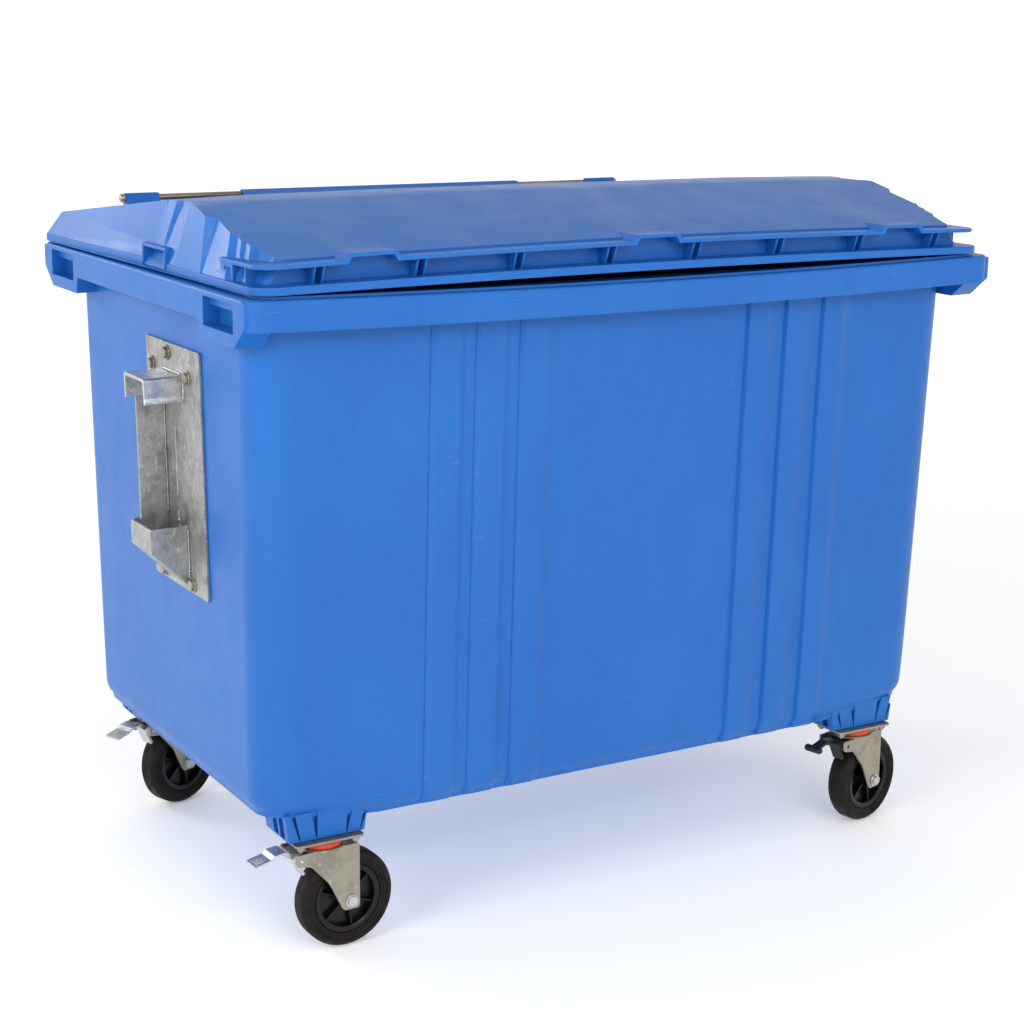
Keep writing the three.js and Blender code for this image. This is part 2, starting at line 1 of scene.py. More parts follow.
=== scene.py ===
"""Looks of a four-wheeled plastic waste container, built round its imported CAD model.

Shapes are worked out in millimetres, in container coordinates: x along the length, y from the
middle of the rim, z up from the floor. settle() turns them into metres in the shared frame.
"""
import json
import math

import bmesh
import bpy
from mathutils import Matrix, Vector, noise


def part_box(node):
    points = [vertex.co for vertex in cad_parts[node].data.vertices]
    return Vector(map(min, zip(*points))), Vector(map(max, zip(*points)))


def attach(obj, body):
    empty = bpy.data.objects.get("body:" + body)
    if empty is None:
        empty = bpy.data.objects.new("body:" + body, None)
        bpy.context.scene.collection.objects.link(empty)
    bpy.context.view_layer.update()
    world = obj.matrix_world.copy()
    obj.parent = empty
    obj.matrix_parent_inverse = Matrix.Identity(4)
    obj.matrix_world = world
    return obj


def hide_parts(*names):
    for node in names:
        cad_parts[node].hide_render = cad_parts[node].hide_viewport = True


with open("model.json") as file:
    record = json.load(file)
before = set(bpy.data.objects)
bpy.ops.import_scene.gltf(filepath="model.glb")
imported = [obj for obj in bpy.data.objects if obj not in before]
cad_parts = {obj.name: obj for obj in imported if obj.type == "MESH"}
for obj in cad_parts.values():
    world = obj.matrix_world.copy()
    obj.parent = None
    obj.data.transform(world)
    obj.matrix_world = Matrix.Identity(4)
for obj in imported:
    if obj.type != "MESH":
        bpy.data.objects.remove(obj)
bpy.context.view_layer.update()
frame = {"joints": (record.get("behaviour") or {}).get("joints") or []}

MM = 0.001

# ---------------------------------------------------------------- sizes

tub_low, tub_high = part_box("tub")
RIM_HALF_LENGTH = tub_high.x / MM
RIM_HALF_DEPTH = 442.5
SHIFT_Y = tub_low.y / MM + RIM_HALF_DEPTH
RIM_TOP = 1040
RIM_BOTTOM = 995
RIM_WALL = 5
RIM_CORNER = 26
RIM_SAG = 8

TUB_WALL = 6
TUB_CORNER = 60
TUB_BOTTOM = 200
TUB_FLOOR = 208
TUB_ROUNDING = 35
# The underside stands above the CAD solid's: a little along the middle, more towards the ends.
UNDERSIDE_LIFT = 14
UNDERSIDE_END_LIFT = 19
TUB_LOW = {"z": 235, "half_x": 639, "front": -360, "rear": 378}
TUB_HIGH = {"z": 1000, "half_x": 650, "front": -385, "rear": 378}
CREASE_Z = 785
CREASE_DEPTH = 0.7

BLOCK_WIDTH = 45
POCKET_SPAN = (285, 395)
PAD_BOTTOM, PAD_TOP = 193.6, 240
PAD_HALF_LENGTH = 64
PAD_FLARE = 6

RIB_HEIGHT = 6.5
RIB_BOTTOM = 205
# Where each group of ribs starts, and the widths of a rib's rise, flat top and fall.
RIB_GROUPS = [(-366, 7, 38, 14), (214, 2.6, 36, 22)]
RIB_PITCH = 77
RIBS_PER_GROUP = 3

LID_BOTTOM = 1044
LIP_TOP = 1056
LID_HALF_LENGTH = 668
LID_LEAN = 0.22
LID_FRONT = -437
LID_REAR = 440
LID_FACE = -402
LID_WALL = 5
LID_CROWN = 9
LEDGE = (1079.5, 1085.5)
NOTCHES = (-487, 0, 488)
GUSSETS = (-567, -405, -241, -79, 79, 241, 405, 567)
LID_BOW = 6.5
# How far the lid's rear corners stand out further at the rim.
LID_FLARE = 20
ROOF = [(LID_FACE, 1089), (-211, 1136), (-168, 1146.5), (-60, 1147.5), (LID_REAR, 1088)]
# The folds of the lid's end walls from front to back: y and inset near the rim, then near the ridge.
FOLD_LOW_Z = 1050
FOLD_HIGH_Z = 1140
FOLDS = [
    (-388, 22, -388, 54),
    (-374, 20, -336, 36),
    (-366, 13, -328, 26),
    (-350, 13, -312, 26),
    (-344, 9, -306, 20),
    (-330, 9, -292, 20),
    (-320, 1, -282, 12),
    (-314, 1, -276, 15),
    (-237, 0, -224, 15),
    (-232, -1, -212, 0),
    (-127, -1, -146, 0),
    (-123, 0, -141, 10),
    (-76, -2, -90, 11),
    (-66, -2, -82, 4),
    (-34, -2, -56, 4),
    (-20, 0, -42, 0),
    (180, 0, 180, 0),
    (404, 0, 404, 0),
]

HINGE_Y, HINGE_Z = 488, 1104
BARREL_RADIUS = 10.5
BARREL_TOP = 8.8
BARREL_HALF_LENGTH = 293
LUG_SPAN = (455, 519)
ROD_RADIUS = 6

# ---------------------------------------------------------------- mesh helpers


def new_object(name, mesh):
    """An object of that mesh, linked to the scene."""
    piece = bpy.data.objects.new(name, mesh)
    bpy.context.scene.collection.objects.link(piece)
    return piece


def solid(points, faces, name="solid"):
    """A closed mesh with its faces pointing out."""
    mesh = bpy.data.meshes.new(name)
    mesh.from_pydata([tuple(p) for p in points], [], faces)
    work = bmesh.new()
    work.from_mesh(mesh)
    bmesh.ops.remove_doubles(work, verts=work.verts, dist=1e-4)
    bmesh.ops.delete(work, geom=[e for e in work.edges if not e.link_faces], context="EDGES")
    bmesh.ops.recalc_face_normals(work, faces=work.faces)
    work.to_mesh(mesh)
    work.free()
    return new_object(name, mesh)


def loft(rings, closed=False):
    """A solid through rings of equally many points. A closed loft joins its last ring to its first."""
    count = len(rings[0])
    points = [p for ring in rings for p in ring]
    faces = []
    for i in range(len(rings) if closed else len(rings) - 1):
        a, b = i * count, ((i + 1) % len(rings)) * count
        for k in range(count):
            n = (k + 1) % count
            faces.append((a + k, a + n, b + n, b + k))
    if not closed:
        faces.append(tuple(range(count)))
        faces.append(tuple(range(len(points) - count, len(points))))
    return solid(points, faces)


def prism(outline, axis, low, high, steps=1):
    """A flat outline extruded along x, y or z. Its coordinates are the other two axes, in order."""
    place = {
        "x": lambda u, v, w: (w, u, v),
        "y": lambda u, v, w: (u, w, v),
        "z": lambda u, v, w: (u, v, w),
    }[axis]
    levels = [low + (high - low) * i / steps for i in range(steps + 1)]
    return loft([[place(u, v, w) for u, v in outline] for w in levels])


def block(x, y, z, rounding=0.0, segments=2):
    """A box between two values on each axis, with rounded edges."""
    piece = prism([(x[0], y[0]), (x[1], y[0]), (x[1], y[1]), (x[0], y[1])], "z", *z)
    return bevel(piece, rounding, segments) if rounding else piece


def lathe(profile, segments=64, axis="z", centre=(0, 0, 0)):
    """A closed profile of (radius, height) turned about an axis."""
    rings = []
    for i in range(segments):
        a = 2 * math.pi * i / segments
        c, s = math.cos(a), math.sin(a)
        turn = {
            "z": lambda r, h: (r * c, r * s, h),
            "y": lambda r, h: (r * c, h, r * s),
            "x": lambda r, h: (h, r * c, r * s),
        }[axis]
        rings.append([tuple(Vector(turn(r, h)) + Vector(centre)) for r, h in profile])
    return loft(rings, closed=True)


def disc_profile(radius, low, high, edge=0.6, hole=0.0):
    """The profile of a round bar or a ring, with small chamfers."""
    return [(hole, low), (radius - edge, low), (radius, low + edge), (radius, high - edge),
            (radius - edge, high), (hole, high)]


def hexagon(radius, turn=0.0):
    """A six-sided outline."""
    return [(radius * math.cos(turn + k * math.pi / 3), radius * math.sin(turn + k * math.pi / 3))
            for k in range(6)]


def fillet(points, radius, segments=4):
    """An outline whose corners are replaced by arcs. A point may carry a radius of its own."""
    result = []
    count = len(points)
    for i in range(count):
        here = Vector(points[i][:2])
        before = Vector(points[i - 1][:2])
        after = Vector(points[(i + 1) % count][:2])
        r = points[i][2] if len(points[i]) > 2 else radius
        u, v = (before - here).normalized(), (after - here).normalized()
        angle = u.angle(v, math.pi)
        reach = min(r / math.tan(angle / 2), 0.49 * (before - here).length, 0.49 * (after - here).length)
        if r <= 0 or angle > math.radians(176) or reach < 0.02:
            result.append(tuple(here))
            continue
        start, end = here + u * reach, here + v * reach
        for k in range(segments + 1):
            t = k / segments
            result.append(tuple(start * (1 - t) ** 2 + here * 2 * t * (1 - t) + end * t ** 2))
    return result


def strip(line, thickness, radius=3.0):
    """The outline of a bent sheet of that thickness along a line of points."""
    half = thickness / 2
    line = [Vector(p) for p in line]
    left, right = [], []
    for i, p in enumerate(line):
        a = (p - line[i - 1]).normalized() if i else (line[1] - p).normalized()
        b = (line[i + 1] - p).normalized() if i < len(line) - 1 else a
        n = (Vector((-a.y, a.x)) + Vector((-b.y, b.x))).normalized()
        k = half / max(0.3, n.dot(Vector((-a.y, a.x))))
        left.append((*(p + n * k), radius if 0 < i < len(line) - 1 else 0.4 * half))
        right.append((*(p - n * k), radius if 0 < i < len(line) - 1 else 0.4 * half))
    return fillet(left + right[::-1], radius, 5)


def applied(piece):
    """The piece with its modifiers made into mesh."""
    bpy.context.view_layer.update()
    made = bpy.data.meshes.new_from_object(piece.evaluated_get(bpy.context.evaluated_depsgraph_get()))
    piece.modifiers.clear()
    piece.data = made
    return piece


def bevel(piece, width, segments=2, angle=28):
    """The piece with its sharp edges rounded."""
    modifier = piece.modifiers.new("bevel", "BEVEL")
    modifier.width = width
    modifier.segments = segments
    modifier.limit_method = "ANGLE"
    modifier.angle_limit = math.radians(angle)
    modifier.use_clamp_overlap = True
    return applied(piece)


def combine(piece, others, operation="UNION"):
    """The piece joined with, cut by or cut down to the others, which are used up."""
    for other in others:
        modifier = piece.modifiers.new("combine", "BOOLEAN")
        modifier.operation = operation
        modifier.solver = "MANIFOLD"
        modifier.object = other
        applied(piece)
        bpy.data.objects.remove(other)
    return piece


def moved(piece, matrix):
    """The piece with its mesh moved by a matrix, turned right side out if that mirrors it."""
    piece.data.transform(matrix)
    if matrix.determinant() < 0:
        piece.data.flip_normals()
    return piece


def scaled(piece, x=1, y=1, z=1):
    return moved(piece, Matrix.Diagonal((x, y, z, 1)))


def copied(piece):
    return new_object(piece.name, piece.data.copy())


def tidy(piece, cuts_x=(), angle=0.3):
    """Merges flat neighbours, then splits the mesh at planes across x so that it can bend."""
    work = bmesh.new()
    work.from_mesh(piece.data)
    bmesh.ops.remove_doubles(work, verts=work.verts, dist=2e-3)
    bmesh.ops.dissolve_limit(work, angle_limit=math.radians(angle), verts=work.verts, edges=work.edges)
    for x in cuts_x:
        everything = work.verts[:] + work.edges[:] + work.faces[:]
        bmesh.ops.bisect_plane(work, geom=everything, plane_co=(x, 0, 0), plane_no=(1, 0, 0))
    bmesh.ops.triangulate(work, faces=[f for f in work.faces if len(f.verts) > 4])
    work.to_mesh(piece.data)
    work.free()
    return piece


def bend(piece, shift):
    """Moves every corner by what shift(x, y, z) returns."""
    for corner in piece.data.vertices:
        corner.co += Vector(shift(*corner.co))
    return piece


def smooth_step(low, high, value):
    t = max(0.0, min(1.0, (value - low) / (high - low)))
    return t * t * (3 - 2 * t)


# ---------------------------------------------------------------- materials


def set_range(node, low, high, to_low, to_high):
    """Sets which input range a Map Range node maps to which output range."""
    for key, number in (("From Min", low), ("From Max", high), ("To Min", to_low), ("To Max", to_high)):
        node.inputs[key].default_value = number


class Shader:
    """A node material under construction: the principled shader and the textures that feed it."""

    def __init__(self, name, color, roughness, metallic=0.0):
        self.material = bpy.data.materials.new(name)
        self.material.use_nodes = True
        self.tree = self.material.node_tree
        self.shader = self.tree.nodes["Principled BSDF"]
        self.shader.inputs["Base Color"].default_value = (*color, 1)
        self.shader.inputs["Roughness"].default_value = roughness
        self.shader.inputs["Metallic"].default_value = metallic
        self.color = self.shader.inputs["Base Color"]
        self.height = None
        self.place = self.node("ShaderNodeTexCoord").outputs["Object"]

    def node(self, kind, **settings):
        made = self.tree.nodes.new(kind)
        for key, value in settings.items():
            setattr(made, key, value)
        return made

    def link(self, output, socket):
        self.tree.links.new(output, socket)

    def stretched(self, scale):
        mapping = self.node("ShaderNodeMapping")
        mapping.inputs["Scale"].default_value = scale
        self.link(self.place, mapping.inputs["Vector"])
        return mapping.outputs["Vector"]

    def noise(self, scale, detail=3.0, roughness=0.55, stretch=(1, 1, 1), distortion=0.0):
        made = self.node("ShaderNodeTexNoise")
        made.inputs["Scale"].default_value = scale
        made.inputs["Detail"].default_value = detail
        made.inputs["Roughness"].default_value = roughness
        made.inputs["Distortion"].default_value = distortion
        self.link(self.stretched(stretch), made.inputs["Vector"])
        return made.outputs["Fac"]

    def cells(self, scale, output="Color", stretch=(1, 1, 1)):
        made = self.node("ShaderNodeTexVoronoi")
        made.inputs["Scale"].default_value = scale
        self.link(self.stretched(stretch), made.inputs["Vector"])
        return made.outputs[output]

    def ranged(self, value, low, high, to_low=0.0, to_high=1.0):
        made = self.node("ShaderNodeMapRange", interpolation_type="SMOOTHSTEP")
        set_range(made, low, high, to_low, to_high)
        self.link(value, made.inputs["Value"])
        return made.outputs["Result"]

    def times(self, a, b):
        made = self.node("ShaderNodeMath", operation="MULTIPLY")
        self.link(a, made.inputs[0])
        if isinstance(b, (int, float)):
            made.inputs[1].default_value = b
        else:
            self.link(b, made.inputs[1])
        return made.outputs[0]

    def tint(self, share, color):
        """Mixes a colour over what is there, by a share from 0 to 1."""
        mix = self.node("ShaderNodeMix", data_type="RGBA")
        self.link(share, mix.inputs["Factor"])
        source = self.color
        if source.is_output:
            self.link(source, mix.inputs["A"])
        else:
            mix.inputs["A"].default_value = source.default_value
        mix.inputs["B"].default_value = (*color, 1)
        self.color = mix.outputs["Result"]
        self.link(self.color, self.shader.inputs["Base Color"])
        return self

    def patches(self, color, scale, detail, low, high, amount=1.0, roughness=0.55, stretch=(1, 1, 1)):
        """Mixes a colour in where a noise is high, by at most that amount."""
        value = self.noise(scale, detail, roughness, stretch)
        return self.tint(self.ranged(value, low, high, 0, amount), color)

    def rough(self, value, low, high, to_low, to_high):
        self.link(self.ranged(value, low, high, to_low, to_high), self.shader.inputs["Roughness"])
        return self

    def bump(self, height, distance, strength=1.0):
        made = self.node("ShaderNodeBump")
        made.inputs["Distance"].default_value = distance
        made.inputs["Strength"].default_value = strength
        self.link(height, made.inputs["Height"])
        if self.height is not None:
            self.link(self.height, made.inputs["Normal"])
        self.height = made.outputs["Normal"]
        self.link(self.height, self.shader.inputs["Normal"])
        return self


def blue_plastic(name, worn):
    """Moulded polyethylene: satin, faintly mottled, with scuffs and pale stress marks."""
    s = Shader(name, (0.009, 0.115, 0.43), 0.42)
    s.shader.inputs["Specular IOR Level"].default_value = 0.3
    s.patches((0.011, 0.13, 0.45), 2.2, 2, 0.35, 0.7)
    s.patches((0.008, 0.107, 0.395), 26, 4, 0.45, 0.75, 0.5, stretch=(1, 1, 0.35))
    scratch = s.times(s.ranged(s.noise(140, 3, 0.6, (0.25, 0.25, 6)), 0.66, 0.72),
                      s.ranged(s.noise(5, 3), 0.5, 0.68))
    s.tint(s.times(scratch, 0.5 * worn), (0.32, 0.45, 0.72))
    speck = s.times(s.ranged(s.noise(420, 2), 0.74, 0.78), s.ranged(s.noise(9, 2), 0.5, 0.7))
    s.tint(s.times(speck, 0.6 * worn), (0.5, 0.6, 0.8))
    s.rough(s.noise(14, 4), 0.3, 0.7, 0.35, 0.42)
    s.bump(s.noise(900, 2), 0.00008, 0.5)
    s.bump(s.noise(30, 3), 0.0006, 0.25)
    return s.material


def galvanised():
    """Hot-dip zinc: a spangle of crystals, matt runs and bright worn edges."""
    s = Shader("galvanised_steel", (0.4, 0.405, 0.405), 0.45, 0.9)
    s.tint(s.ranged(s.cells(280), 0.2, 0.8, 0, 0.5), (0.32, 0.325, 0.32))
    s.patches((0.22, 0.205, 0.18), 24, 7, 0.44, 0.68, 0.75, 0.72)
    s.patches((0.36, 0.3, 0.22), 9, 5, 0.56, 0.74, 0.6, 0.6, (1, 1, 0.4))
    s.patches((0.68, 0.69, 0.7), 85, 7, 0.54, 0.66, 0.8, 0.8, (1.5, 1.5, 0.6))
    s.rough(s.noise(50, 6, 0.7), 0.35, 0.7, 0.34, 0.62)
    s.bump(s.noise(90, 6, 0.7), 0.0009, 0.5)
    s.bump(s.noise(420, 3), 0.0002, 0.4)
    return s.material


def bright_zinc():
    """Clean zinc on bolts, pedals and hooks, with brighter worn patches."""
    s = Shader("bright_zinc", (0.55, 0.56, 0.56), 0.32, 0.85)
    s.patches((0.4, 0.39, 0.36), 40, 6, 0.42, 0.66, 0.7, 0.7)
    s.patches((0.86, 0.86, 0.86), 120, 5, 0.56, 0.7, 0.8, 0.7)
    s.rough(s.noise(60, 5), 0.35, 0.7, 0.26, 0.46)
    s.bump(s.noise(180, 5, 0.7), 0.0004, 0.5)
    return s.material


def zinc():
    """Zinc plate with a faint yellow passivation and dull handling marks."""
    s = Shader("zinc", (0.36, 0.33, 0.26), 0.38, 0.9)
    s.patches((0.24, 0.22, 0.175), 22, 5, 0.4, 0.7, 0.8, 0.6)
    s.patches((0.6, 0.58, 0.52), 75, 4, 0.6, 0.75, 0.6)
    s.patches((0.2, 0.11, 0.06), 34, 3, 0.66, 0.76, 0.35)
    s.rough(s.noise(48, 4), 0.35, 0.7, 0.28, 0.5)
    s.bump(s.noise(260, 4), 0.0002, 0.5)
    return s.material


def steel_rod():
    """Drawn bar with a brown tarnish."""
    s = Shader("steel_rod", (0.34, 0.29, 0.23), 0.32, 0.95)
    s.patches((0.16, 0.11, 0.075), 60, 5, 0.42, 0.66, roughness=0.6, stretch=(0.1, 1, 1))
    s.patches((0.6, 0.57, 0.5), 18, 4, 0.6, 0.75, 0.7)
    s.rough(s.noise(90, 4, stretch=(0.1, 1, 1)), 0.35, 0.7, 0.24, 0.5)
    s.bump(s.noise(500, 3, stretch=(0, 1, 1)), 0.0001, 0.5)
    return s.material


def dull_plastic(name, color, dust, roughness):
    """A moulded plastic or paint with a little dust in it."""
    s = Shader(name, color, roughness)
    s.shader.inputs["Specular IOR Level"].default_value = 0.3
    s.patches(dust, 60, 4, 0.45, 0.75, 0.35)
    s.rough(s.noise(80, 3), 0.3, 0.7, roughness - 0.08, roughness + 0.12)
    s.bump(s.noise(700, 3), 0.00015, 0.5)
    return s.material


def rubber():
    """Black rubber gone brown, with dust on the tread."""
    s = Shader("rubber", (0.007, 0.005, 0.004), 0.62)
    s.shader.inputs["Specular IOR Level"].default_value = 0.2
    s.patches((0.015, 0.011, 0.008), 34, 5, 0.42, 0.72, 0.8, 0.6)
    s.patches((0.04, 0.032, 0.026), 150, 4, 0.58, 0.76, 0.4)
    s.rough(s.noise(70, 4), 0.3, 0.7, 0.5, 0.78)
    s.bump(s.noise(380, 5), 0.0004, 0.6)
    return s.material


MATERIALS = {
    "tub": blue_plastic("blue_plastic_tub", 0.7),
    "lid": blue_plastic("blue_plastic_lid", 1.0),
    "galvanised_steel": galvanised(),
    "zinc": zinc(),
    "bright_zinc": bright_zinc(),
    "steel_rod": steel_rod(),
    "orange_plastic": dull_plastic("orange_plastic", (0.62, 0.06, 0.02), (0.4, 0.12, 0.06), 0.42),
    "black_plastic": dull_plastic("black_plastic", (0.002, 0.002, 0.002), (0.009, 0.008, 0.007), 0.3),
    "black_paint": dull_plastic("black_paint", (0.012, 0.011, 0.01), (0, 0.045, 0.04), 0.36),
    "rubber": rubber(),
}


def settle(piece, name, body, slot, nodes=(), material=None):
    """Turns a piece into metres in the shared frame, finishes it and lets it ride on its body."""
    piece.name = piece.data.name = name
    piece.data.transform(Matrix.Scale(MM, 4) @ Matrix.Translation((0, SHIFT_Y, 0)))
    piece.data.materials.clear()
    piece.data.materials.append(MATERIALS[material or slot])
    piece.data.shade_smooth()
    piece.data.set_sharp_from_angle(angle=math.radians(42))
    modifier = piece.modifiers.new("shading", "WEIGHTED_NORMAL")
    modifier.keep_sharp = True
    modifier.weight = 100
    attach(piece, body)
    if nodes:
        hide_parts(*nodes)
    return piece


# ---------------------------------------------------------------- tub


def tub_section(z):
    """Half length, front and rear of the tub's walls at a height."""
    share = (z - TUB_LOW["z"]) / (TUB_HIGH["z"] - TUB_LOW["z"])
    return [TUB_LOW[key] + (TUB_HIGH[key] - TUB_LOW[key]) * share for key in ("half_x", "front", "rear")]


def rib_stations():
    """Points across the front wall: x and how far it stands out there."""
    stations = []
    for start, rise, flat, fall in RIB_GROUPS:
        for i in range(RIBS_PER_GROUP):
            x = start + i * RIB_PITCH
            top = x + rise
            end = top + flat
            stations += [(x - 2.4, 0), (x - 1.5, -0.9), (x - 0.5, -0.9), (x + 0.2, 0.4)]
            stations += [(top - 0.6, RIB_HEIGHT - 0.7)]
            stations += [(u, RIB_HEIGHT) for u in (top + 0.6, top + flat / 2, end - 1.5)]
            stations += [(end + 1.5, RIB_HEIGHT - 0.5)]
            stations += [(end + fall * 0.55, 2.6), (end + fall * 0.85, 0.6), (end + fall + 3, 0)]
    covered = [(g[0] - 8, g[0] + RIBS_PER_GROUP * RIB_PITCH + 6) for g in RIB_GROUPS]
    plain = [(x, 0) for x in range(-560, 561, 40) if not any(a < x < b for a, b in covered)]
    return sorted(stations + plain)


FRONT_STATIONS = rib_stations()


def arc(centre, radius, start, count=9):
    """A quarter turn of points, in degrees from start."""
    angles = [math.radians(start + 90 * k / count) for k in range(count + 1)]
    return [(centre[0] + radius * math.cos(a), centre[1] + radius * math.sin(a)) for a in angles]


def wall_wave(u, z):
    """The slight unevenness of a large moulded wall."""
    broad = noise.noise(Vector((u / 260, z / 330, 0.3)))
    fine = noise.noise(Vector((u / 70, z / 110, 4)))
    return 0.9 * broad + 0.35 * fine


def crease(x, z):
    """A shallow line across the front wall, stronger in some places."""
    strength = 0.5 + 0.5 * noise.noise(Vector((x / 150, 7, 0)))
    rise = smooth_step(CREASE_Z - 5, CREASE_Z, z)
    fall = smooth_step(CREASE_Z, CREASE_Z + 26, z)
    return CREASE_DEPTH * (rise - fall) * strength


def tub_ring(z, inset, ribs):
    """One level of the tub's wall, moved in by inset, with or without its ribs."""
    half_x, front, rear = tub_section(z)
    cx, fy, ry = half_x - TUB_CORNER, front + TUB_CORNER, rear - TUB_CORNER
    radius = TUB_CORNER - inset
    ring = [(x, front + inset - (depth if ribs else 0) - wall_wave(x, z) - crease(x, z))
            for x, depth in FRONT_STATIONS]
    ring += arc((cx, fy), radius, -90)
    ring += [(half_x - inset + wall_wave(y, z), y) for y in range(-240, 241, 60)]
    ring += arc((cx, ry), radius, 0)
    ring += [(x, rear - inset + wall_wave(x, z + 900)) for x in range(540, -541, -60)]
    ring += arc((-cx, ry), radius, 90)
    ring += [(-half_x + inset - wall_wave(y, z + 400), y) for y in range(240, -241, -60)]
    ring += arc((-cx, fy), radius, 180)
    return [(x, y, z) for x, y in ring]


def tub_shell():
    """Walls and floor, with the ribs ending squarely above the rounded bottom edge."""
    rings = []
    for share in (0, 0.04, 0.14, 0.3, 0.52, 0.76, 1):
        z = TUB_BOTTOM + share * TUB_ROUNDING
        inset = TUB_ROUNDING * (1 - math.sqrt(1 - (1 - share) ** 2))
        if rings and rings[-1][0][2] < RIB_BOTTOM <= z:
            rings.append(tub_ring(RIB_BOTTOM - 2.2, inset + 1.2, False))
            rings.append(tub_ring(RIB_BOTTOM, inset + 0.6, True))
        if abs(z - RIB_BOTTOM) > 2.3:
            rings.append(tub_ring(z, inset, z > RIB_BOTTOM))
    heights = list(range(270, 1000, 45)) + [CREASE_Z + k for k in (-5, -2, 0, 8, 18)] + [1010, 1030]
    for z in sorted(heights):
        rings.append(tub_ring(z, 0, True))
    rings.append(tub_ring(RIM_TOP - 1.5, 0, False))
    rings.append(tub_ring(RIM_TOP, 1.5, False))
    rings.append(tub_ring(RIM_TOP, TUB_WALL - 1.5, False))
    rings.append(tub_ring(RIM_TOP - 1.5, TUB_WALL, False))
    for z in range(980, 240, -60):
        rings.append(tub_ring(z, TUB_WALL, False))
    for share in (0.9, 0.6, 0.35, 0.12, 0):
        inset = (TUB_ROUNDING - TUB_WALL) * (1 - math.sqrt(1 - (1 - share) ** 2))
        rings.append(tub_ring(TUB_FLOOR + share * (TUB_ROUNDING - TUB_WALL), TUB_WALL + inset, False))
    return loft(rings)


def rim_loop(half_x, front, rear, radius):
    """A rounded rectangle with the same number of points whatever its size."""
    cx, fy, ry = half_x - radius, front + radius, rear - radius
    along, across = 28, 14
    loop = [(-cx + 2 * cx * k / along, front) for k in range(1, along)]
    loop += arc((cx, fy), radius, -90, 8)
    loop += [(half_x, fy + (ry - fy) * k / across) for k in range(1, across)]
    loop += arc((cx, ry), radius, 0, 8)
    loop += [(cx - 2 * cx * k / along, rear) for k in range(1, along)]
    loop += arc((-cx, ry), radius, 90, 8)
    loop += [(-half_x, ry - (ry - fy) * k / across) for k in range(1, across)]
    loop += arc((-cx, fy), radius, 180, 8)
    return loop


def rim():
    """The rim's flat top and its skirt, as one closed section carried round the tub."""
    half_x, front, rear = tub_section(RIM_TOP)

    def outer(inset, z):
        loop = rim_loop(RIM_HALF_LENGTH - inset, inset - RIM_HALF_DEPTH, RIM_HALF_DEPTH - inset,
                        RIM_CORNER - inset)
        return [(x, y, z) for x, y in loop]

    def inner(inset, z):
        loop = rim_loop(half_x - inset, front + inset, rear - inset, TUB_CORNER - inset)
        return [(x, y, z) for x, y in loop]

    wall = RIM_WALL
    return loft([
        outer(1.0, RIM_BOTTOM), outer(0, RIM_BOTTOM + 1.2), outer(0, RIM_TOP - 5),
        outer(0.5, RIM_TOP - 2.6), outer(1.8, RIM_TOP - 0.9), outer(4.2, RIM_TOP),
        inner(3, RIM_TOP), inner(3, RIM_TOP - wall), outer(wall + 3, RIM_TOP - wall),
        outer(wall, RIM_TOP - wall - 3), outer(wall - 0.6, RIM_BOTTOM + 1), outer(wall - 1.4, RIM_BOTTOM),
    ], closed=True)


def rim_bead():
    """The low bead on the rim that the lid's lip lies over."""
    rings = []
    for inset, z in ((9, RIM_TOP - 1), (9.6, RIM_TOP + 3.2), (14, RIM_TOP + 3.2), (14.6, RIM_TOP - 1)):
        loop = rim_loop(LID_HALF_LENGTH - inset, LID_FRONT + inset, LID_REAR - inset, 26)
        rings.append([(x, y, z) for x, y in loop])
    return loft(rings, closed=True)


def corner_block():
    """The block under a rear or front corner, in the quarter where x and y are positive."""
    corners = [(265, 1036), (265, 994, 5), (273, 968, 5), (395, 968, 6), (434, 1000, 6), (434, 1036)]
    return bevel(prism(fillet(corners, 0), "x", RIM_HALF_LENGTH - BLOCK_WIDTH, RIM_HALF_LENGTH), 1.4)


def corner_pocket():
    """The hollow in a corner block: deep below, shallow above."""
    mouth = RIM_HALF_LENGTH + 4
    deep = block((RIM_HALF_LENGTH - 28, mouth), POCKET_SPAN, (988, 1017), 1.6)
    shallow = block((RIM_HALF_LENGTH - 13, mouth), POCKET_SPAN, (1010, 1031), 1.6)
    return combine(deep, [shallow])


def lift_underside(x, _, z):
    """How far the tub's underside stands above the CAD solid's."""
    lift = UNDERSIDE_LIFT + UNDERSIDE_END_LIFT * smooth_step(430, 610, abs(x))
    return 0, 0, lift * (1 - smooth_step(TUB_BOTTOM + TUB_ROUNDING, 340, z))


def caster_pad(x, y, front):
    """The foot of the tub above one caster: tapering slots in its face, square ones in its ends."""
    low, high = PAD_BOTTOM, PAD_TOP
    side = -1 if front else 1
    near = y - 26 if front else y + 26
    far = y + 60 if front else y - 62
    foot, shoulder = PAD_HALF_LENGTH, PAD_HALF_LENGTH + PAD_FLARE
    outline = fillet([(x - foot, low, 3), (x + foot, low, 3), (x + shoulder, high), (x - shoulder, high)], 0)
    pad = bevel(prism(outline, "y", min(near, far), max(near, far)), 1.2)
    cuts = []
    for offset, width in ((-45, 3), (-17, 4.5), (32, 3.5), (55, 3)):
        slot = [(offset - width, high), (offset + width, high),
                (offset + 0.9, low + 3), (offset - 0.9, low + 3)]
        outline = [(x + u * (1 + 0.006 * (v - low)), v) for u, v in slot]
        cuts.append(prism(outline, "y", *sorted((near - side * 9, near + side * 4))))
    for end in (-1, 1):
        edge = x + end * foot
        for back in (14, 38):
            depth = sorted((near - side * back, near - side * (back + 16)))
            cuts.append(block(sorted((edge - end * 7, edge + end * 30)), depth, (low + 4, high + 4), 1.0))
    return combine(pad, cuts, "DIFFERENCE")


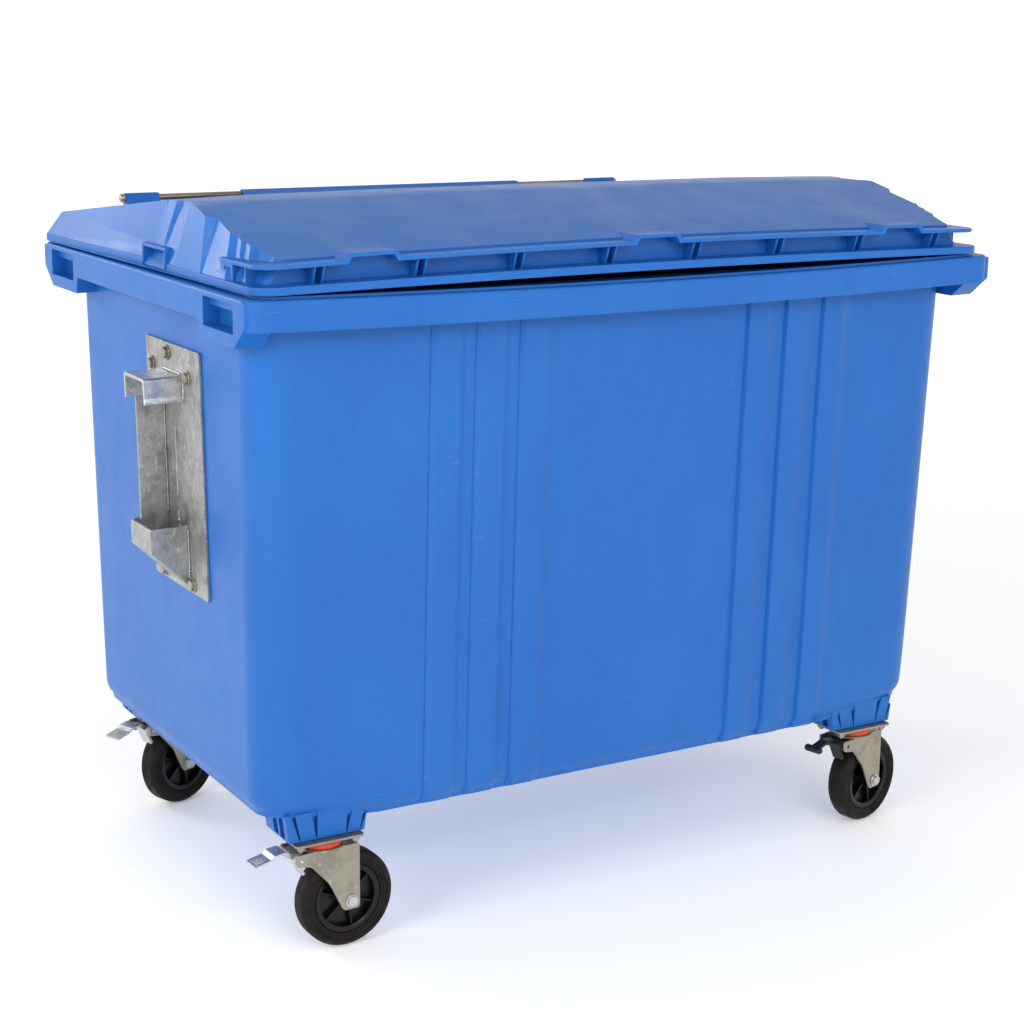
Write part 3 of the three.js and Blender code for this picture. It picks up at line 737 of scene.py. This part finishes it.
def hinge_arm(foot_y, low, high, span):
    """An arm from a wall to a round end on the hinge's axis, with its bore."""
    outline = [(foot_y, low)]
    for k in range(17):
        a = math.radians(-50 + 180 * k / 16)
        rise = min(BARREL_TOP, BARREL_RADIUS * math.sin(a))
        outline.append((HINGE_Y + BARREL_RADIUS * math.cos(a), HINGE_Z + rise))
    outline.append((foot_y, high))
    return bevel(prism(outline, "x", *span), 1.2, angle=50)


def rod_bore(low, high):
    return lathe(disc_profile(ROD_RADIUS + 0.4, low, high), 40, "x", (0, HINGE_Y, HINGE_Z))


def make_tub(casters):
    body = bend(tub_shell(), lift_underside)
    parts = [rim(), rim_bead()]
    for sx in (-1, 1):
        for sy in (-1, 1):
            parts.append(scaled(corner_block(), sx, sy))
        span = sorted((sx * LUG_SPAN[0], sx * LUG_SPAN[1]))
        parts.append(hinge_arm(RIM_HALF_DEPTH - 3, RIM_BOTTOM + 6, RIM_TOP - 1, span))
    for caster in casters:
        parts.append(caster_pad(caster["x"], caster["y"], caster["y"] < 0))
    combine(body, parts)
    cuts = [scaled(corner_pocket(), sx, sy) for sx in (-1, 1) for sy in (-1, 1)]
    cuts.append(rod_bore(-560, 560))
    combine(body, cuts, "DIFFERENCE")
    tidy(body, range(-660, 661, 44))

    def sag(x, y, z):
        reach = smooth_step(250, 430, abs(y)) * smooth_step(940, 1000, z) * (1 if y < 0 else 0.4)
        if y > LID_REAR:
            reach *= 1 - smooth_step(RIM_TOP - 10, RIM_TOP, z)
        return 0, 0, -RIM_SAG * reach * (1 - (x / RIM_HALF_LENGTH) ** 2)

    return bend(body, sag)


# ---------------------------------------------------------------- lid


def lid_ring(z, inset):
    """One level of the lid's walls, whose ends are folded."""
    share = (z - FOLD_LOW_Z) / (FOLD_HIGH_Z - FOLD_LOW_Z)
    nominal = LID_HALF_LENGTH - (z - LID_BOTTOM) * LID_LEAN - inset
    end = [(nominal - (a + (b - a) * share), ya + (yb - ya) * share) for ya, a, yb, b in FOLDS]
    front, rear = LID_FACE + inset, LID_REAR - inset
    corner = 12
    first = end[0][0]
    right = arc((first - corner, front + corner), corner, -90, 4) + end
    right += arc((nominal - 30, rear - 30), 30, 0, 6)
    ring = [(x, front) for x in range(-550, 551, 50)] + right
    ring += [(x, rear) for x in range(550, -551, -50)] + [(-x, y) for x, y in right[::-1]]
    return [(x, y, z) for x, y in ring]


def lid_body(inset, low, high_rounding):
    """The lid's roof as a closed body, moved in by inset."""
    walls = loft([lid_ring(z, inset) for z in (low, 1070, 1090, 1110, 1130, 1175)])
    slope = [(y, z - inset) for y, z in ROOF]
    outline = [(LID_FACE - 20, low - 5), (LID_FACE - 20, slope[0][1] - 4.9)] + slope[1:-1]
    outline += [(LID_REAR + 20, slope[-1][1] - 1.9), (LID_REAR + 20, low - 5)]
    roof = prism(outline, "x", -720, 720)
    body = combine(walls, [roof], "INTERSECT")
    tidy(body, angle=1)
    return bevel(body, high_rounding, 3, 14) if high_rounding else body


def lid_lip():
    """The flange that lies on the rim."""
    loop = rim_loop(LID_HALF_LENGTH, LID_FRONT, LID_REAR, 35)
    return bevel(prism(loop, "z", LID_BOTTOM, LIP_TOP), 1.6, 2, 50)


def lid_ledge():
    """The grip ledge along the front, carried round both corners."""
    reach, back, inner = 661, -291, 612
    outline = [(-reach, back)] + arc((-reach + 38, LID_FRONT + 38), 38, 180)
    outline += arc((reach - 38, LID_FRONT + 38), 38, -90)
    outline += [(reach, back), (inner, back), (inner, -372), (-inner, -372), (-inner, back)]
    return bevel(prism(outline, "z", *LEDGE), 1.4, 2, 50)


def notch(centre):
    """The raised place in the ledge for the fingers, and the space below it."""
    low, high = LEDGE
    top = high + 9.5
    ceiling = top - 5.5
    band = [(-47, high), (-37, top), (37, top), (47, high), (47, low + 0.2), (41, low + 0.2),
            (33, ceiling), (-33, ceiling), (-41, low + 0.2), (-47, low + 0.2)]
    space = [(-41, low - 1), (-33, ceiling), (33, ceiling), (41, low - 1)]
    raised = prism([(centre + u, v) for u, v in band], "y", LID_FRONT, -358)
    under = prism([(centre + u, v) for u, v in space], "y", LID_FRONT - 8, LID_FACE)
    return bevel(raised, 0.9, 2, 25), under


def gusset_pair(x):
    """Two thin webs between ledge and lip."""
    outline = [(LID_FACE + 2, 1081), (LID_FRONT + 6, 1081), (LID_FRONT + 17, 1055), (LID_FACE + 2, 1055)]
    return [bevel(prism(outline, "x", x + k - 1.6, x + k + 1.6), 0.6, 1) for k in (-7, 7)]


def end_block(side):
    """The closed end of the ledge on an end wall, with a shallow panel in it."""
    body = block((622, 659.5), (-337, -291.5), (1054, 1081), 1.2)
    panel = block((652, 670), (-329, -306), (1061, 1074), 1.0)
    web = block((628, 656), (-375, -371.5), (1054, 1081), 0.6, 1)
    return scaled(combine(combine(body, [panel], "DIFFERENCE"), [web]), side)


def end_grip(side):
    """The handle on an end wall: a shelf on two webs, in front of a sloping recess."""
    front, rear, web = -100, -2, 5.5
    shelf = block((640, 669), (front, rear), (1074.5, 1080), 1.2)
    outline = [(640, 1047), (670.5, 1047), (669, 1077), (640, 1077)]
    webs = [bevel(prism(outline, "y", y, y + web), 1.0) for y in (front, rear - web)]
    slope = [(667.5, 1048), (645, 1077), (633, 1081), (633, 1070), (657, 1046)]
    back = prism(slope, "y", front + 1, rear - 1)
    hollow = [(668, 1049), (690, 1049), (690, 1074.5), (647, 1074.5)]
    room = prism(hollow, "y", front + web, rear - web)
    return scaled(combine(shelf, webs), side), scaled(back, side), scaled(room, side)


def make_lid():
    body = lid_body(0, LIP_TOP - 3, 2.2)
    parts = [lid_lip(), lid_ledge()]
    notches = [notch(x) for x in NOTCHES]
    for x in GUSSETS:
        parts += gusset_pair(x)
    grips = [end_grip(side) for side in (-1, 1)]
    parts += [end_block(side) for side in (-1, 1)]
    parts.append(hinge_arm(LID_REAR - 3, 1062, 1087, (-BARREL_HALF_LENGTH, BARREL_HALF_LENGTH)))
    combine(body, parts)
    combine(body, [under for _, under in notches], "DIFFERENCE")
    combine(body, [raised for raised, _ in notches])
    inside = lid_body(LID_WALL, LID_BOTTOM - 6, 0)
    combine(body, [inside, rod_bore(-320, 320)], "DIFFERENCE")
    combine(body, [back for _, back, _ in grips])
    combine(body, [room for _, _, room in grips], "DIFFERENCE")
    combine(body, [handle for handle, _, _ in grips])
    tidy(body, range(-640, 641, 40))

    def crown(x, y, z):
        roof = smooth_step(1095, 1135, z)
        round_arch = LID_CROWN * (1 - (x / LID_HALF_LENGTH) ** 2)
        flat_arch = LID_BOW * (1 - (x / LID_HALF_LENGTH) ** 4)
        arch = round_arch + (flat_arch - round_arch) * roof
        height = 0.55 + 0.45 * smooth_step(LID_BOTTOM, LID_BOTTOM + 40, z)
        wave = 0.6 * noise.noise(Vector((x / 120, y / 120, 2))) if z > 1090 else 0
        hold = 1 - smooth_step(396, 436, y)
        flare = LID_FLARE * smooth_step(60, 400, y) * (1 - smooth_step(LIP_TOP, 1092, z))
        outward = math.copysign(flare * smooth_step(560, 660, abs(x)), x)
        return outward, 0, (max(0.0, arch) * height - 0.6 + wave) * hold

    return bend(body, crown)


# ---------------------------------------------------------------- hinge rod


def make_rod():
    reach = LUG_SPAN[1] + 4.8
    return lathe(disc_profile(ROD_RADIUS, -reach, reach, 0.8), 40, "x", (0, HINGE_Y, HINGE_Z))


def make_rod_cap(side):
    """A pressed-on cap with a rolled edge and a domed end."""
    start = LUG_SPAN[1] + 0.4
    profile = [(6.2, 0), (9.2, 0), (9.5, 0.7), (9.2, 1.6), (8.2, 2.0), (8.0, 4.6), (6.6, 6.8), (3.2, 7.9),
               (0, 8), (0, 5), (6.2, 5)]
    cap = lathe([(r, start + h) for r, h in profile], 40, "x", (0, HINGE_Y, HINGE_Z))
    return scaled(cap, side)


# ---------------------------------------------------------------- lifting bracket
# Local x stands out from the tub's end wall.

BRACKET_BOLTS = ((-137, 885), (-56, 914), (10, 888), (-128, 557), (-9, 557))


def weld(points, radius=1.8, seed=0):
    """A bead along a line, thicker and thinner by turns."""
    points = [Vector(p) for p in points]
    rings = []
    steps = max(4, int((points[1] - points[0]).length / 2.2))
    along = (points[1] - points[0]).normalized()
    side = along.orthogonal().normalized()
    other = along.cross(side)
    for i in range(steps + 1):
        p = points[0].lerp(points[1], i / steps)
        r = radius * (0.8 + 0.35 * noise.noise(Vector((i * 0.9, seed, 0))) + (0.18 if i % 2 else -0.1))
        r *= 0.4 if i in (0, steps) else 1
        rings.append([tuple(p + (side * math.cos(a) + other * math.sin(a)) * r)
                      for a in (2 * math.pi * k / 8 for k in range(8))])
    return loft(rings)


def bracket_plate():
    outline = fillet([(-185, 543), (35, 543), (35, 930), (-185, 930)], 4)
    plate = bevel(prism(outline, "x", 0.3, 5), 0.8)
    bead = [weld([(5, -78, 690), (5, -78, 800)], 1.3, 3), weld([(5, -80, 640), (5.2, -79, 668)], 2.2, 5)]
    return combine(plate, bead)


def bracket_hook():
    """An inverted channel, with a small fold at the foot of its front flange."""
    line = [(-115.5, 847), (-113.6, 856), (-113.5, 883.5), (-32.5, 883.5), (-32.5, 846)]
    outline = strip(line, 5, 6)
    hook = bevel(prism(outline, "x", 5.3, 67.3), 0.9, 2, 40)
    lip = prism(fillet([(-117.6, 845.5), (-112, 845.5), (-112, 852), (-117.6, 852)], 2.2), "x", 5.3, 67.3)
    hook = combine(hook, [bevel(lip, 0.8, 2, 50)])
    beads = [weld([(6, -120, 850), (6, -120, 882)], 2, 1), weld([(6, -112, 888), (6, -36, 888)], 1.9, 2)]
    return combine(hook, beads)


def bracket_cup():
    """An open-topped cup with a sloping underside, and the web that runs up to the hook."""
    side = fillet([(5.3, 560), (10, 556), (67.3, 613, 4), (67.3, 650, 2), (5.3, 650)], 0)
    hollow = [(4, 569), (10, 569), (62, 618), (62, 660), (4, 660)]
    cup = bevel(prism(side, "y", -116, -30), 1.0)
    cup = combine(cup, [bevel(prism(hollow, "y", -111, -35), 1.0)], "DIFFERENCE")
    sheet = fillet([(5.3, 645), (51.3, 645), (51.3, 844.5, 3), (5.3, 844.5)], 0)
    web = bevel(prism(sheet, "y", -35, -30.2), 0.8)
    beads = [weld([(6.5, -118, 566), (6.5, -118, 646)], 2.0, 8),
             weld([(6.5, -37, 655), (6.5, -37, 840)], 1.7, 9),
             weld([(52, -32, 652), (64, -34, 652)], 2.2, 11)]
    return combine(cup, [web] + beads)


def hex_bolt(y, z, seat, turn):
    """A washer and a hexagon head whose axis is x."""
    washer = lathe(disc_profile(12, seat, seat + 2, 0.5), 32, "x", (0, y, z))
    head = prism([(y + u, z + v) for u, v in hexagon(9.4, turn)], "x", seat + 1.5, seat + 7)
    return combine(washer, [bevel(head, 0.9)])


def place_brackets():
    for side, name in ((-1, "bracket_left"), (1, "bracket_right")):
        lean = math.atan2(TUB_HIGH["half_x"] - TUB_LOW["half_x"], TUB_HIGH["z"] - TUB_LOW["z"])
        stand = Matrix.Translation((side * tub_section(0)[0], 0, 0)) @ Matrix.Rotation(side * lean, 4, "Y")
        stand = stand @ Matrix.Diagonal((side, 1, 1, 1))
        for part, make in (("plate", bracket_plate), ("hook", bracket_hook), ("cup", bracket_cup)):
            piece = moved(make(), stand)
            finish = "bright_zinc" if part == "hook" else None
            settle(piece, f"{name}_{part}_shaped", "tub", "galvanised_steel", [f"{name}_{part}"], finish)
        for i, (y, z) in enumerate(BRACKET_BOLTS):
            piece = moved(hex_bolt(y, z, 5.1, 0.3 + 1.3 * i), stand)
            settle(piece, f"{name}_fastener_{i + 1}", "tub", "zinc", [f"{name}_bolt_{i + 1}"])


# ---------------------------------------------------------------- casters
# Local frame: origin on the floor under the swivel axis, +x the way the wheel trails.

WHEEL_RADIUS = 80
TRAIL = 39
FORK_TOP = 177
FORK_INNER = 25
FORK_SHEET = 4
PLATE_BOTTOM = 189
PLATE_TOP = 193
PLATE_BOLTS = ((-46, -28), (46, -28), (46, 28), (-46, 28))
PEDAL_PIVOT = (-46, 164)
AXLE = (TRAIL, 0, WHEEL_RADIUS)
RIBS_PER_HUB = 6


def caster_plate():
    outline = fillet([(-58, -39), (58, -39), (58, 39), (-58, 39)], 7, 6)
    plate = bevel(prism(outline, "z", PLATE_BOTTOM, PLATE_TOP), 0.8, 2, 50)
    swage = [(36, 1), (36, -0.1), (37.5, -0.2), (39.5, 1)]
    return combine(plate, [lathe([(r, PLATE_BOTTOM + h) for r, h in swage], 48)])


def plate_bolt(x, y):
    """A nut and the end of its bolt, below the plate."""
    outline = [(x + u, y + v) for u, v in hexagon(7.4, 0.4 * x)]
    nut = bevel(prism(outline, "z", PLATE_BOTTOM - 6.5, PLATE_BOTTOM - 0.1), 0.8)
    end = lathe(disc_profile(3.9, PLATE_BOTTOM - 10, PLATE_BOTTOM - 4, 0.8), 20, "z", (x, y, 0))
    return combine(nut, [end])


def caster_seal():
    low, high = FORK_TOP + 0.3, PLATE_BOTTOM - 0.4
    profile = [(9, low), (33, low), (34, low + 1.5), (34, low + 5), (31, high), (9, high)]
    return lathe(profile, 72)


def king_pin():
    head = FORK_TOP - FORK_SHEET - 0.4
    profile = [(0, head - 6), (9, head - 6), (13.4, head - 4), (14, head - 1), (14, head), (7.6, head),
               (7.6, PLATE_TOP - 0.2), (0, PLATE_TOP - 0.2)]
    return lathe(profile, 40)


def fork():
    """A pressed fork: crown, two cheeks, and the ears that hold the brake."""
    outer = FORK_INNER + FORK_SHEET
    corners = [(-56, FORK_TOP - 2, 3), (-56, 161, 4), (-52, 155, 4), (-30, 151, 10), (1, 116, 60),
               (22, 72, 8), (TRAIL - 12, 66, 5), (TRAIL + 12, 66, 5), (TRAIL + 15, 71, 5),
               (TRAIL + 15, FORK_TOP - 2, 6)]
    cheek = fillet(corners, 0, 6)
    body = bevel(prism(cheek, "y", -outer, outer), 1.3, 3, 50)
    gap = block((-70, 80), (-FORK_INNER, FORK_INNER), (50, FORK_TOP - FORK_SHEET), 3.0, 3)
    mouth = block((-70, -33), (-FORK_INNER, FORK_INNER), (50, FORK_TOP + 2), 1.0)
    crown = lathe(disc_profile(38, FORK_TOP - FORK_SHEET, FORK_TOP, 1.0), 64)
    combine(body, [gap, mouth], "DIFFERENCE")
    combine(body, [crown])
    holes = [lathe(disc_profile(8.3, FORK_TOP - 10, FORK_TOP + 3), 32),
             lathe(disc_profile(5.3, -40, 40), 32, "y", AXLE),
             lathe(disc_profile(3.5, -40, 40), 24, "y", (PEDAL_PIVOT[0], 0, PEDAL_PIVOT[1]))]
    return combine(body, holes, "DIFFERENCE")


def axle_head(side):
    """A hexagon on a washer at one end of the axle."""
    face = FORK_INNER + FORK_SHEET + 0.3
    washer = lathe(disc_profile(11, face, face + 1.6, 0.4, 5.4 if side > 0 else 0), 36, "y")
    head = bevel(prism(hexagon(9, 0.35), "y", face + 1.2, face + 6.5), 1.2)
    if side > 0:
        head = combine(head, [lathe(disc_profile(5.4, face - 2, face + 9), 32, "y")], "DIFFERENCE")
    return moved(combine(washer, [head]), Matrix.Translation(AXLE) @ Matrix.Diagonal((1, side, 1, 1)))


def axle_bolt():
    face = FORK_INNER + FORK_SHEET + 0.3
    bar = lathe(disc_profile(5, -face - 2, face + 9, 0.8), 32, "y", AXLE)
    return combine(axle_head(-1), [bar])


def tyre():
    """Solid rubber with a flat tread, round shoulders and a ring on each side."""
    side = [(57.2, 16.6), (58.2, 17.8), (60, 18.4), (61, 17.5), (62.2, 17.5), (63.2, 18.8), (66, 19.2),
            (66.8, 18.4), (68, 18.4), (68.8, 19.5), (72.5, 19.9), (74.5, 18.7), (76.3, 16.6), (77.9, 14),
            (78.2, 13), (79.2, 12.6), (79.9, 10.6)]
    profile = [(r, -w) for r, w in side] + [(WHEEL_RADIUS, -5), (WHEEL_RADIUS, 5)] + side[::-1]
    return lathe(profile, 128, "y", AXLE)


def hub():
    """A moulded hub: rim, web, boss and radial ribs."""
    rim_r, bore = 56.6, 5.7
    half = [(rim_r, 15.6), (56, 16.4), (50.5, 16.2), (48, 14), (47.6, 3), (bore, 3)]
    ring = lathe([(r, -w) for r, w in half[4:0:-1]] + [(rim_r, -15.6)] + half + [(bore, -3)], 96, "y")
    end = [(16.5, 0), (14.4, 23.4), (13, 24.4), (bore, 24.4)]
    boss = lathe([(r, -w) for r, w in end[:0:-1]] + end, 48, "y")
    parts = [boss]
    upright = Matrix.Rotation(math.pi / 2, 4, "X")
    for k in range(RIBS_PER_HUB):
        rib = bevel(prism([(13, -1.7), (49, -1.3), (49, 1.3), (13, 1.7)], "z", -12.5, 12.5), 0.7, 2, 50)
        turn = Matrix.Rotation(k * 2 * math.pi / RIBS_PER_HUB + 0.35, 4, "Y")
        parts.append(moved(rib, turn @ upright))
    return moved(combine(ring, parts), Matrix.Translation(AXLE))


def painted_blade(px, pz):
    """A narrow blade with a round tread across its end."""
    line = [(px + 2, pz + 4), (px - 12, pz + 9), (px - 34, pz + 11), (px - 60, pz + 5)]
    blade = bevel(prism(strip(line, 5, 6), "y", -9, 9), 1.8, 3, 50)
    profile = [(0, -17), (4.6, -16.6), (6.2, -14), (6.4, 14), (4.6, 16.6), (0, 17)]
    return blade, [lathe(profile, 32, "y", (px - 64, 0, pz + 4.5))]


def pressed_blade(px, pz):
    """A wide bent blade with an embossed cross and a folded wing on each side."""
    line = [(px + 3, pz + 4), (px - 9, pz + 8), (px - 22, pz + 14), (px - 39, pz + 12),
            (px - 46, pz + 6.5), (px - 73, pz + 0.5)]
    blade = bevel(prism(strip(line, 3.2, 2.5), "y", -16.8, 16.8), 0.9, 2, 50)
    tilt = Matrix.Translation((px - 59, 0, pz + 5)) @ Matrix.Rotation(math.radians(-12.5), 4, "Y")
    parts = [moved(block((-9, 9), (-9, 9), (-1.4, 0.9), 0.8), tilt),
             moved(block((-6, 6), (-1.4, 1.4), (-1, 1.9), 0.8), tilt),
             moved(block((-1.4, 1.4), (-6, 6), (-1, 1.9), 0.8), tilt)]
    corners = [(px + 5, pz - 7), (px + 5, pz + 6), (px - 10, pz + 9), (px - 24, pz + 13), (px - 22, pz + 8)]
    wing = fillet(corners, 2, 3)
    for s in (-1, 1):
        parts.append(bevel(prism(wing, "y", *sorted((s * 16.8, s * 14))), 0.6, 2, 50))
    return blade, parts


def pedal(painted):
    """The brake pedal: its blade, pivot tube and pin, a shoe arm down to the tyre and spring coils."""
    px, pz = PEDAL_PIVOT
    pivot = (px, 0, pz)
    blade, parts = painted_blade(px, pz) if painted else pressed_blade(px, pz)
    tube = lathe(disc_profile(6, -20, 20, 1.0), 32, "y", pivot)
    arm = [(px - 2, pz - 2), (px + 4, pz - 15), (px + 12, pz - 31)]
    shoe = bevel(prism(strip(arm, 5, 6), "y", -11, 11), 1.2, 2, 50)
    reach = FORK_INNER + FORK_SHEET + 0.6
    pin = lathe(disc_profile(3, -reach, reach, 0.6), 24, "y", pivot)
    coils = [lathe([(7.6, w - 1), (8.8, w), (7.6, w + 1), (6.2, w)], 32, "y", pivot)
             for w in (-19, -16.6, 16.6, 19)]
    return combine(blade, parts + [tube, shoe, pin] + coils)


def joint(name):
    return next(j for j in frame["joints"] if j["name"] == name)


def read_casters():
    """Where each caster stands and which way its wheel trails, from the joints."""
    found = []
    for tag in ("fl", "fr", "rl", "rr"):
        swivel = Vector(joint(f"swivel_{tag}")["pos_m"]) / MM
        wheel = Vector(joint(f"wheel_spin_{tag}")["pos_m"]) / MM
        turn = math.atan2(wheel.y - swivel.y, wheel.x - swivel.x)
        place = {"x": swivel.x, "y": swivel.y - SHIFT_Y, "turn": turn}
        found.append({"tag": tag, "painted": tag == "fr", **place})
    return found


def place_casters(casters):
    fixed = {"plate": (caster_plate(), "zinc"), "seal": (caster_seal(), "orange_plastic"),
             "king_pin": (king_pin(), "zinc")}
    turning = {"fork": (fork(), "zinc", "fork"), "axle_bolt": (axle_bolt(), "zinc", "fork"),
               "axle_nut": (axle_head(1), "zinc", "fork"), "hub": (hub(), "black_plastic", "wheel"),
               "tyre": (tyre(), "rubber", "wheel")}
    for caster in casters:
        tag = caster["tag"]
        foot = Matrix.Translation((caster["x"], caster["y"], 0))
        for part, (shape, slot) in fixed.items():
            settle(moved(copied(shape), foot), f"{part}_{tag}_shaped", "tub", slot, [f"{part}_{tag}"])
        for i, (x, y) in enumerate(PLATE_BOLTS):
            settle(moved(plate_bolt(x, y), foot), f"plate_nut_{tag}_{i + 1}", "tub", "zinc")
        swivel = foot @ Matrix.Rotation(caster["turn"], 4, "Z")
        for part, (shape, slot, body) in turning.items():
            finish = "bright_zinc" if part in ("axle_bolt", "axle_nut") else None
            settle(moved(copied(shape), swivel), f"{part}_{tag}_shaped", f"{body}_{tag}", slot,
                   [f"{part}_{tag}"], finish)
        slot, finish = ("black_paint", None) if caster["painted"] else ("zinc", "bright_zinc")
        piece = moved(pedal(caster["painted"]), swivel)
        settle(piece, f"brake_pedal_{tag}_shaped", f"brake_{tag}", slot, [f"brake_pedal_{tag}"], finish)
    for shape, *_ in [*fixed.values(), *turning.values()]:
        bpy.data.objects.remove(shape)


# ---------------------------------------------------------------- camera, light and floor
# Metres in the shared frame; angles in radians, powers in watts.

CAMERA_PLACE = (-1.7689, -3.01875, 1.4093)
CAMERA_YAW, CAMERA_PITCH, CAMERA_ROLL = 0.535, 0.236, 0.011
LENS, SENSOR = 70.99, 36
# Name, place, target, size and power of each soft box.
SOFT_BOXES = [
    ("key_left", (-3.4, -1.4, 2.1), (-0.5, 0, 0.7), (1.6, 1.6), 44),
    ("front", (-0.6, -4.4, 2.6), (0, -0.2, 0.6), (2.6, 1.2), 70),
    ("rear_left", (-2.6, 2.93, 2.02), (-0.65, -0.2, 1.1), (1.2, 0.7), 34),
]
# The sky's brightness falls from 1.15 near the horizon to 0.6 where the direction's z is 0.6.
SKY_FADE = (0.02, 0.6, 1.15, 0.6)
# The floor glows a little, and more with the distance from the container, so that it stays white.
FLOOR_GLOW = (1.2, 6, 0.24, 0.46)
FLOOR_SIZE = 40

def make_camera():
    """The photograph's viewpoint: to the front left of the container and a little above it."""
    yaw, pitch, roll = CAMERA_YAW, CAMERA_PITCH, CAMERA_ROLL
    forward = Vector((math.sin(yaw) * math.cos(pitch), math.cos(yaw) * math.cos(pitch), -math.sin(pitch)))
    level = Vector((math.cos(yaw), -math.sin(yaw), 0))
    upright = level.cross(forward)
    right = level * math.cos(roll) + upright * math.sin(roll)
    up = upright * math.cos(roll) - level * math.sin(roll)
    camera = bpy.data.objects.new("camera", bpy.data.cameras.new("camera"))
    camera.data.lens = LENS
    camera.data.sensor_width = SENSOR
    camera.data.clip_end = 60
    rows = zip(right, up, -forward, CAMERA_PLACE)
    camera.matrix_world = Matrix((*rows, (0, 0, 0, 1)))
    bpy.context.scene.collection.objects.link(camera)
    bpy.context.scene.camera = camera


def area_light(name, place, target, size, power):
    """A soft rectangular light that faces a point."""
    data = bpy.data.lights.new(name, "AREA")
    data.shape = "RECTANGLE"
    data.size, data.size_y = size
    data.energy = power
    light = bpy.data.objects.new(name, data)
    bpy.context.scene.collection.objects.link(light)
    light.location = place
    light.rotation_euler = (Vector(target) - Vector(place)).to_track_quat("-Z", "Y").to_euler()


def make_stage():
    """A white studio: light that fades upwards, soft boxes and a pale floor that glows by itself."""
    world = bpy.data.worlds.new("studio")
    world.use_nodes = True
    nodes, links = world.node_tree.nodes, world.node_tree.links
    direction = nodes.new("ShaderNodeTexCoord").outputs["Generated"]
    height = nodes.new("ShaderNodeSeparateXYZ")
    links.new(direction, height.inputs["Vector"])
    fade = nodes.new("ShaderNodeMapRange")
    set_range(fade, *SKY_FADE)
    links.new(height.outputs["Z"], fade.inputs["Value"])
    background = nodes["Background"]
    background.inputs["Color"].default_value = (1, 1, 1, 1)
    links.new(fade.outputs["Result"], background.inputs["Strength"])
    scene = bpy.context.scene
    scene.world = world
    scene.view_settings.view_transform = "Standard"
    for box in SOFT_BOXES:
        area_light(*box)
    bpy.ops.mesh.primitive_plane_add(size=FLOOR_SIZE)
    floor = bpy.context.object
    floor.name = "studio_floor"
    paint = Shader("studio_floor", (0.93, 0.93, 0.93), 0.7)
    paint.tint(paint.ranged(paint.noise(1.5, 2), 0.3, 0.7, 0, 0.5), (0.94, 0.94, 0.94))
    # Painted light: the floor glows by itself, more the further it lies from the container.
    paint.shader.inputs["Emission Color"].default_value = (1, 1, 1, 1)
    away = paint.node("ShaderNodeVectorMath", operation="LENGTH")
    paint.link(paint.place, away.inputs[0])
    glow = paint.ranged(away.outputs["Value"], *FLOOR_GLOW)
    paint.link(glow, paint.shader.inputs["Emission Strength"])
    floor.data.materials.append(paint.material)


# ---------------------------------------------------------------- assembly

make_camera()
make_stage()
CASTERS = read_casters()
settle(make_tub(CASTERS), "tub_moulding", "tub", "blue_plastic", ["tub"], "tub")
settle(make_lid(), "lid_moulding", "lid", "blue_plastic", ["lid"], "lid")
settle(make_rod(), "hinge_rod_shaped", "tub", "steel_rod", ["hinge_rod"])
settle(make_rod_cap(-1), "rod_cap_left_shaped", "tub", "zinc", ["rod_cap_left"])
settle(make_rod_cap(1), "rod_cap_right_shaped", "tub", "zinc", ["rod_cap_right"])
place_brackets()
place_casters(CASTERS)
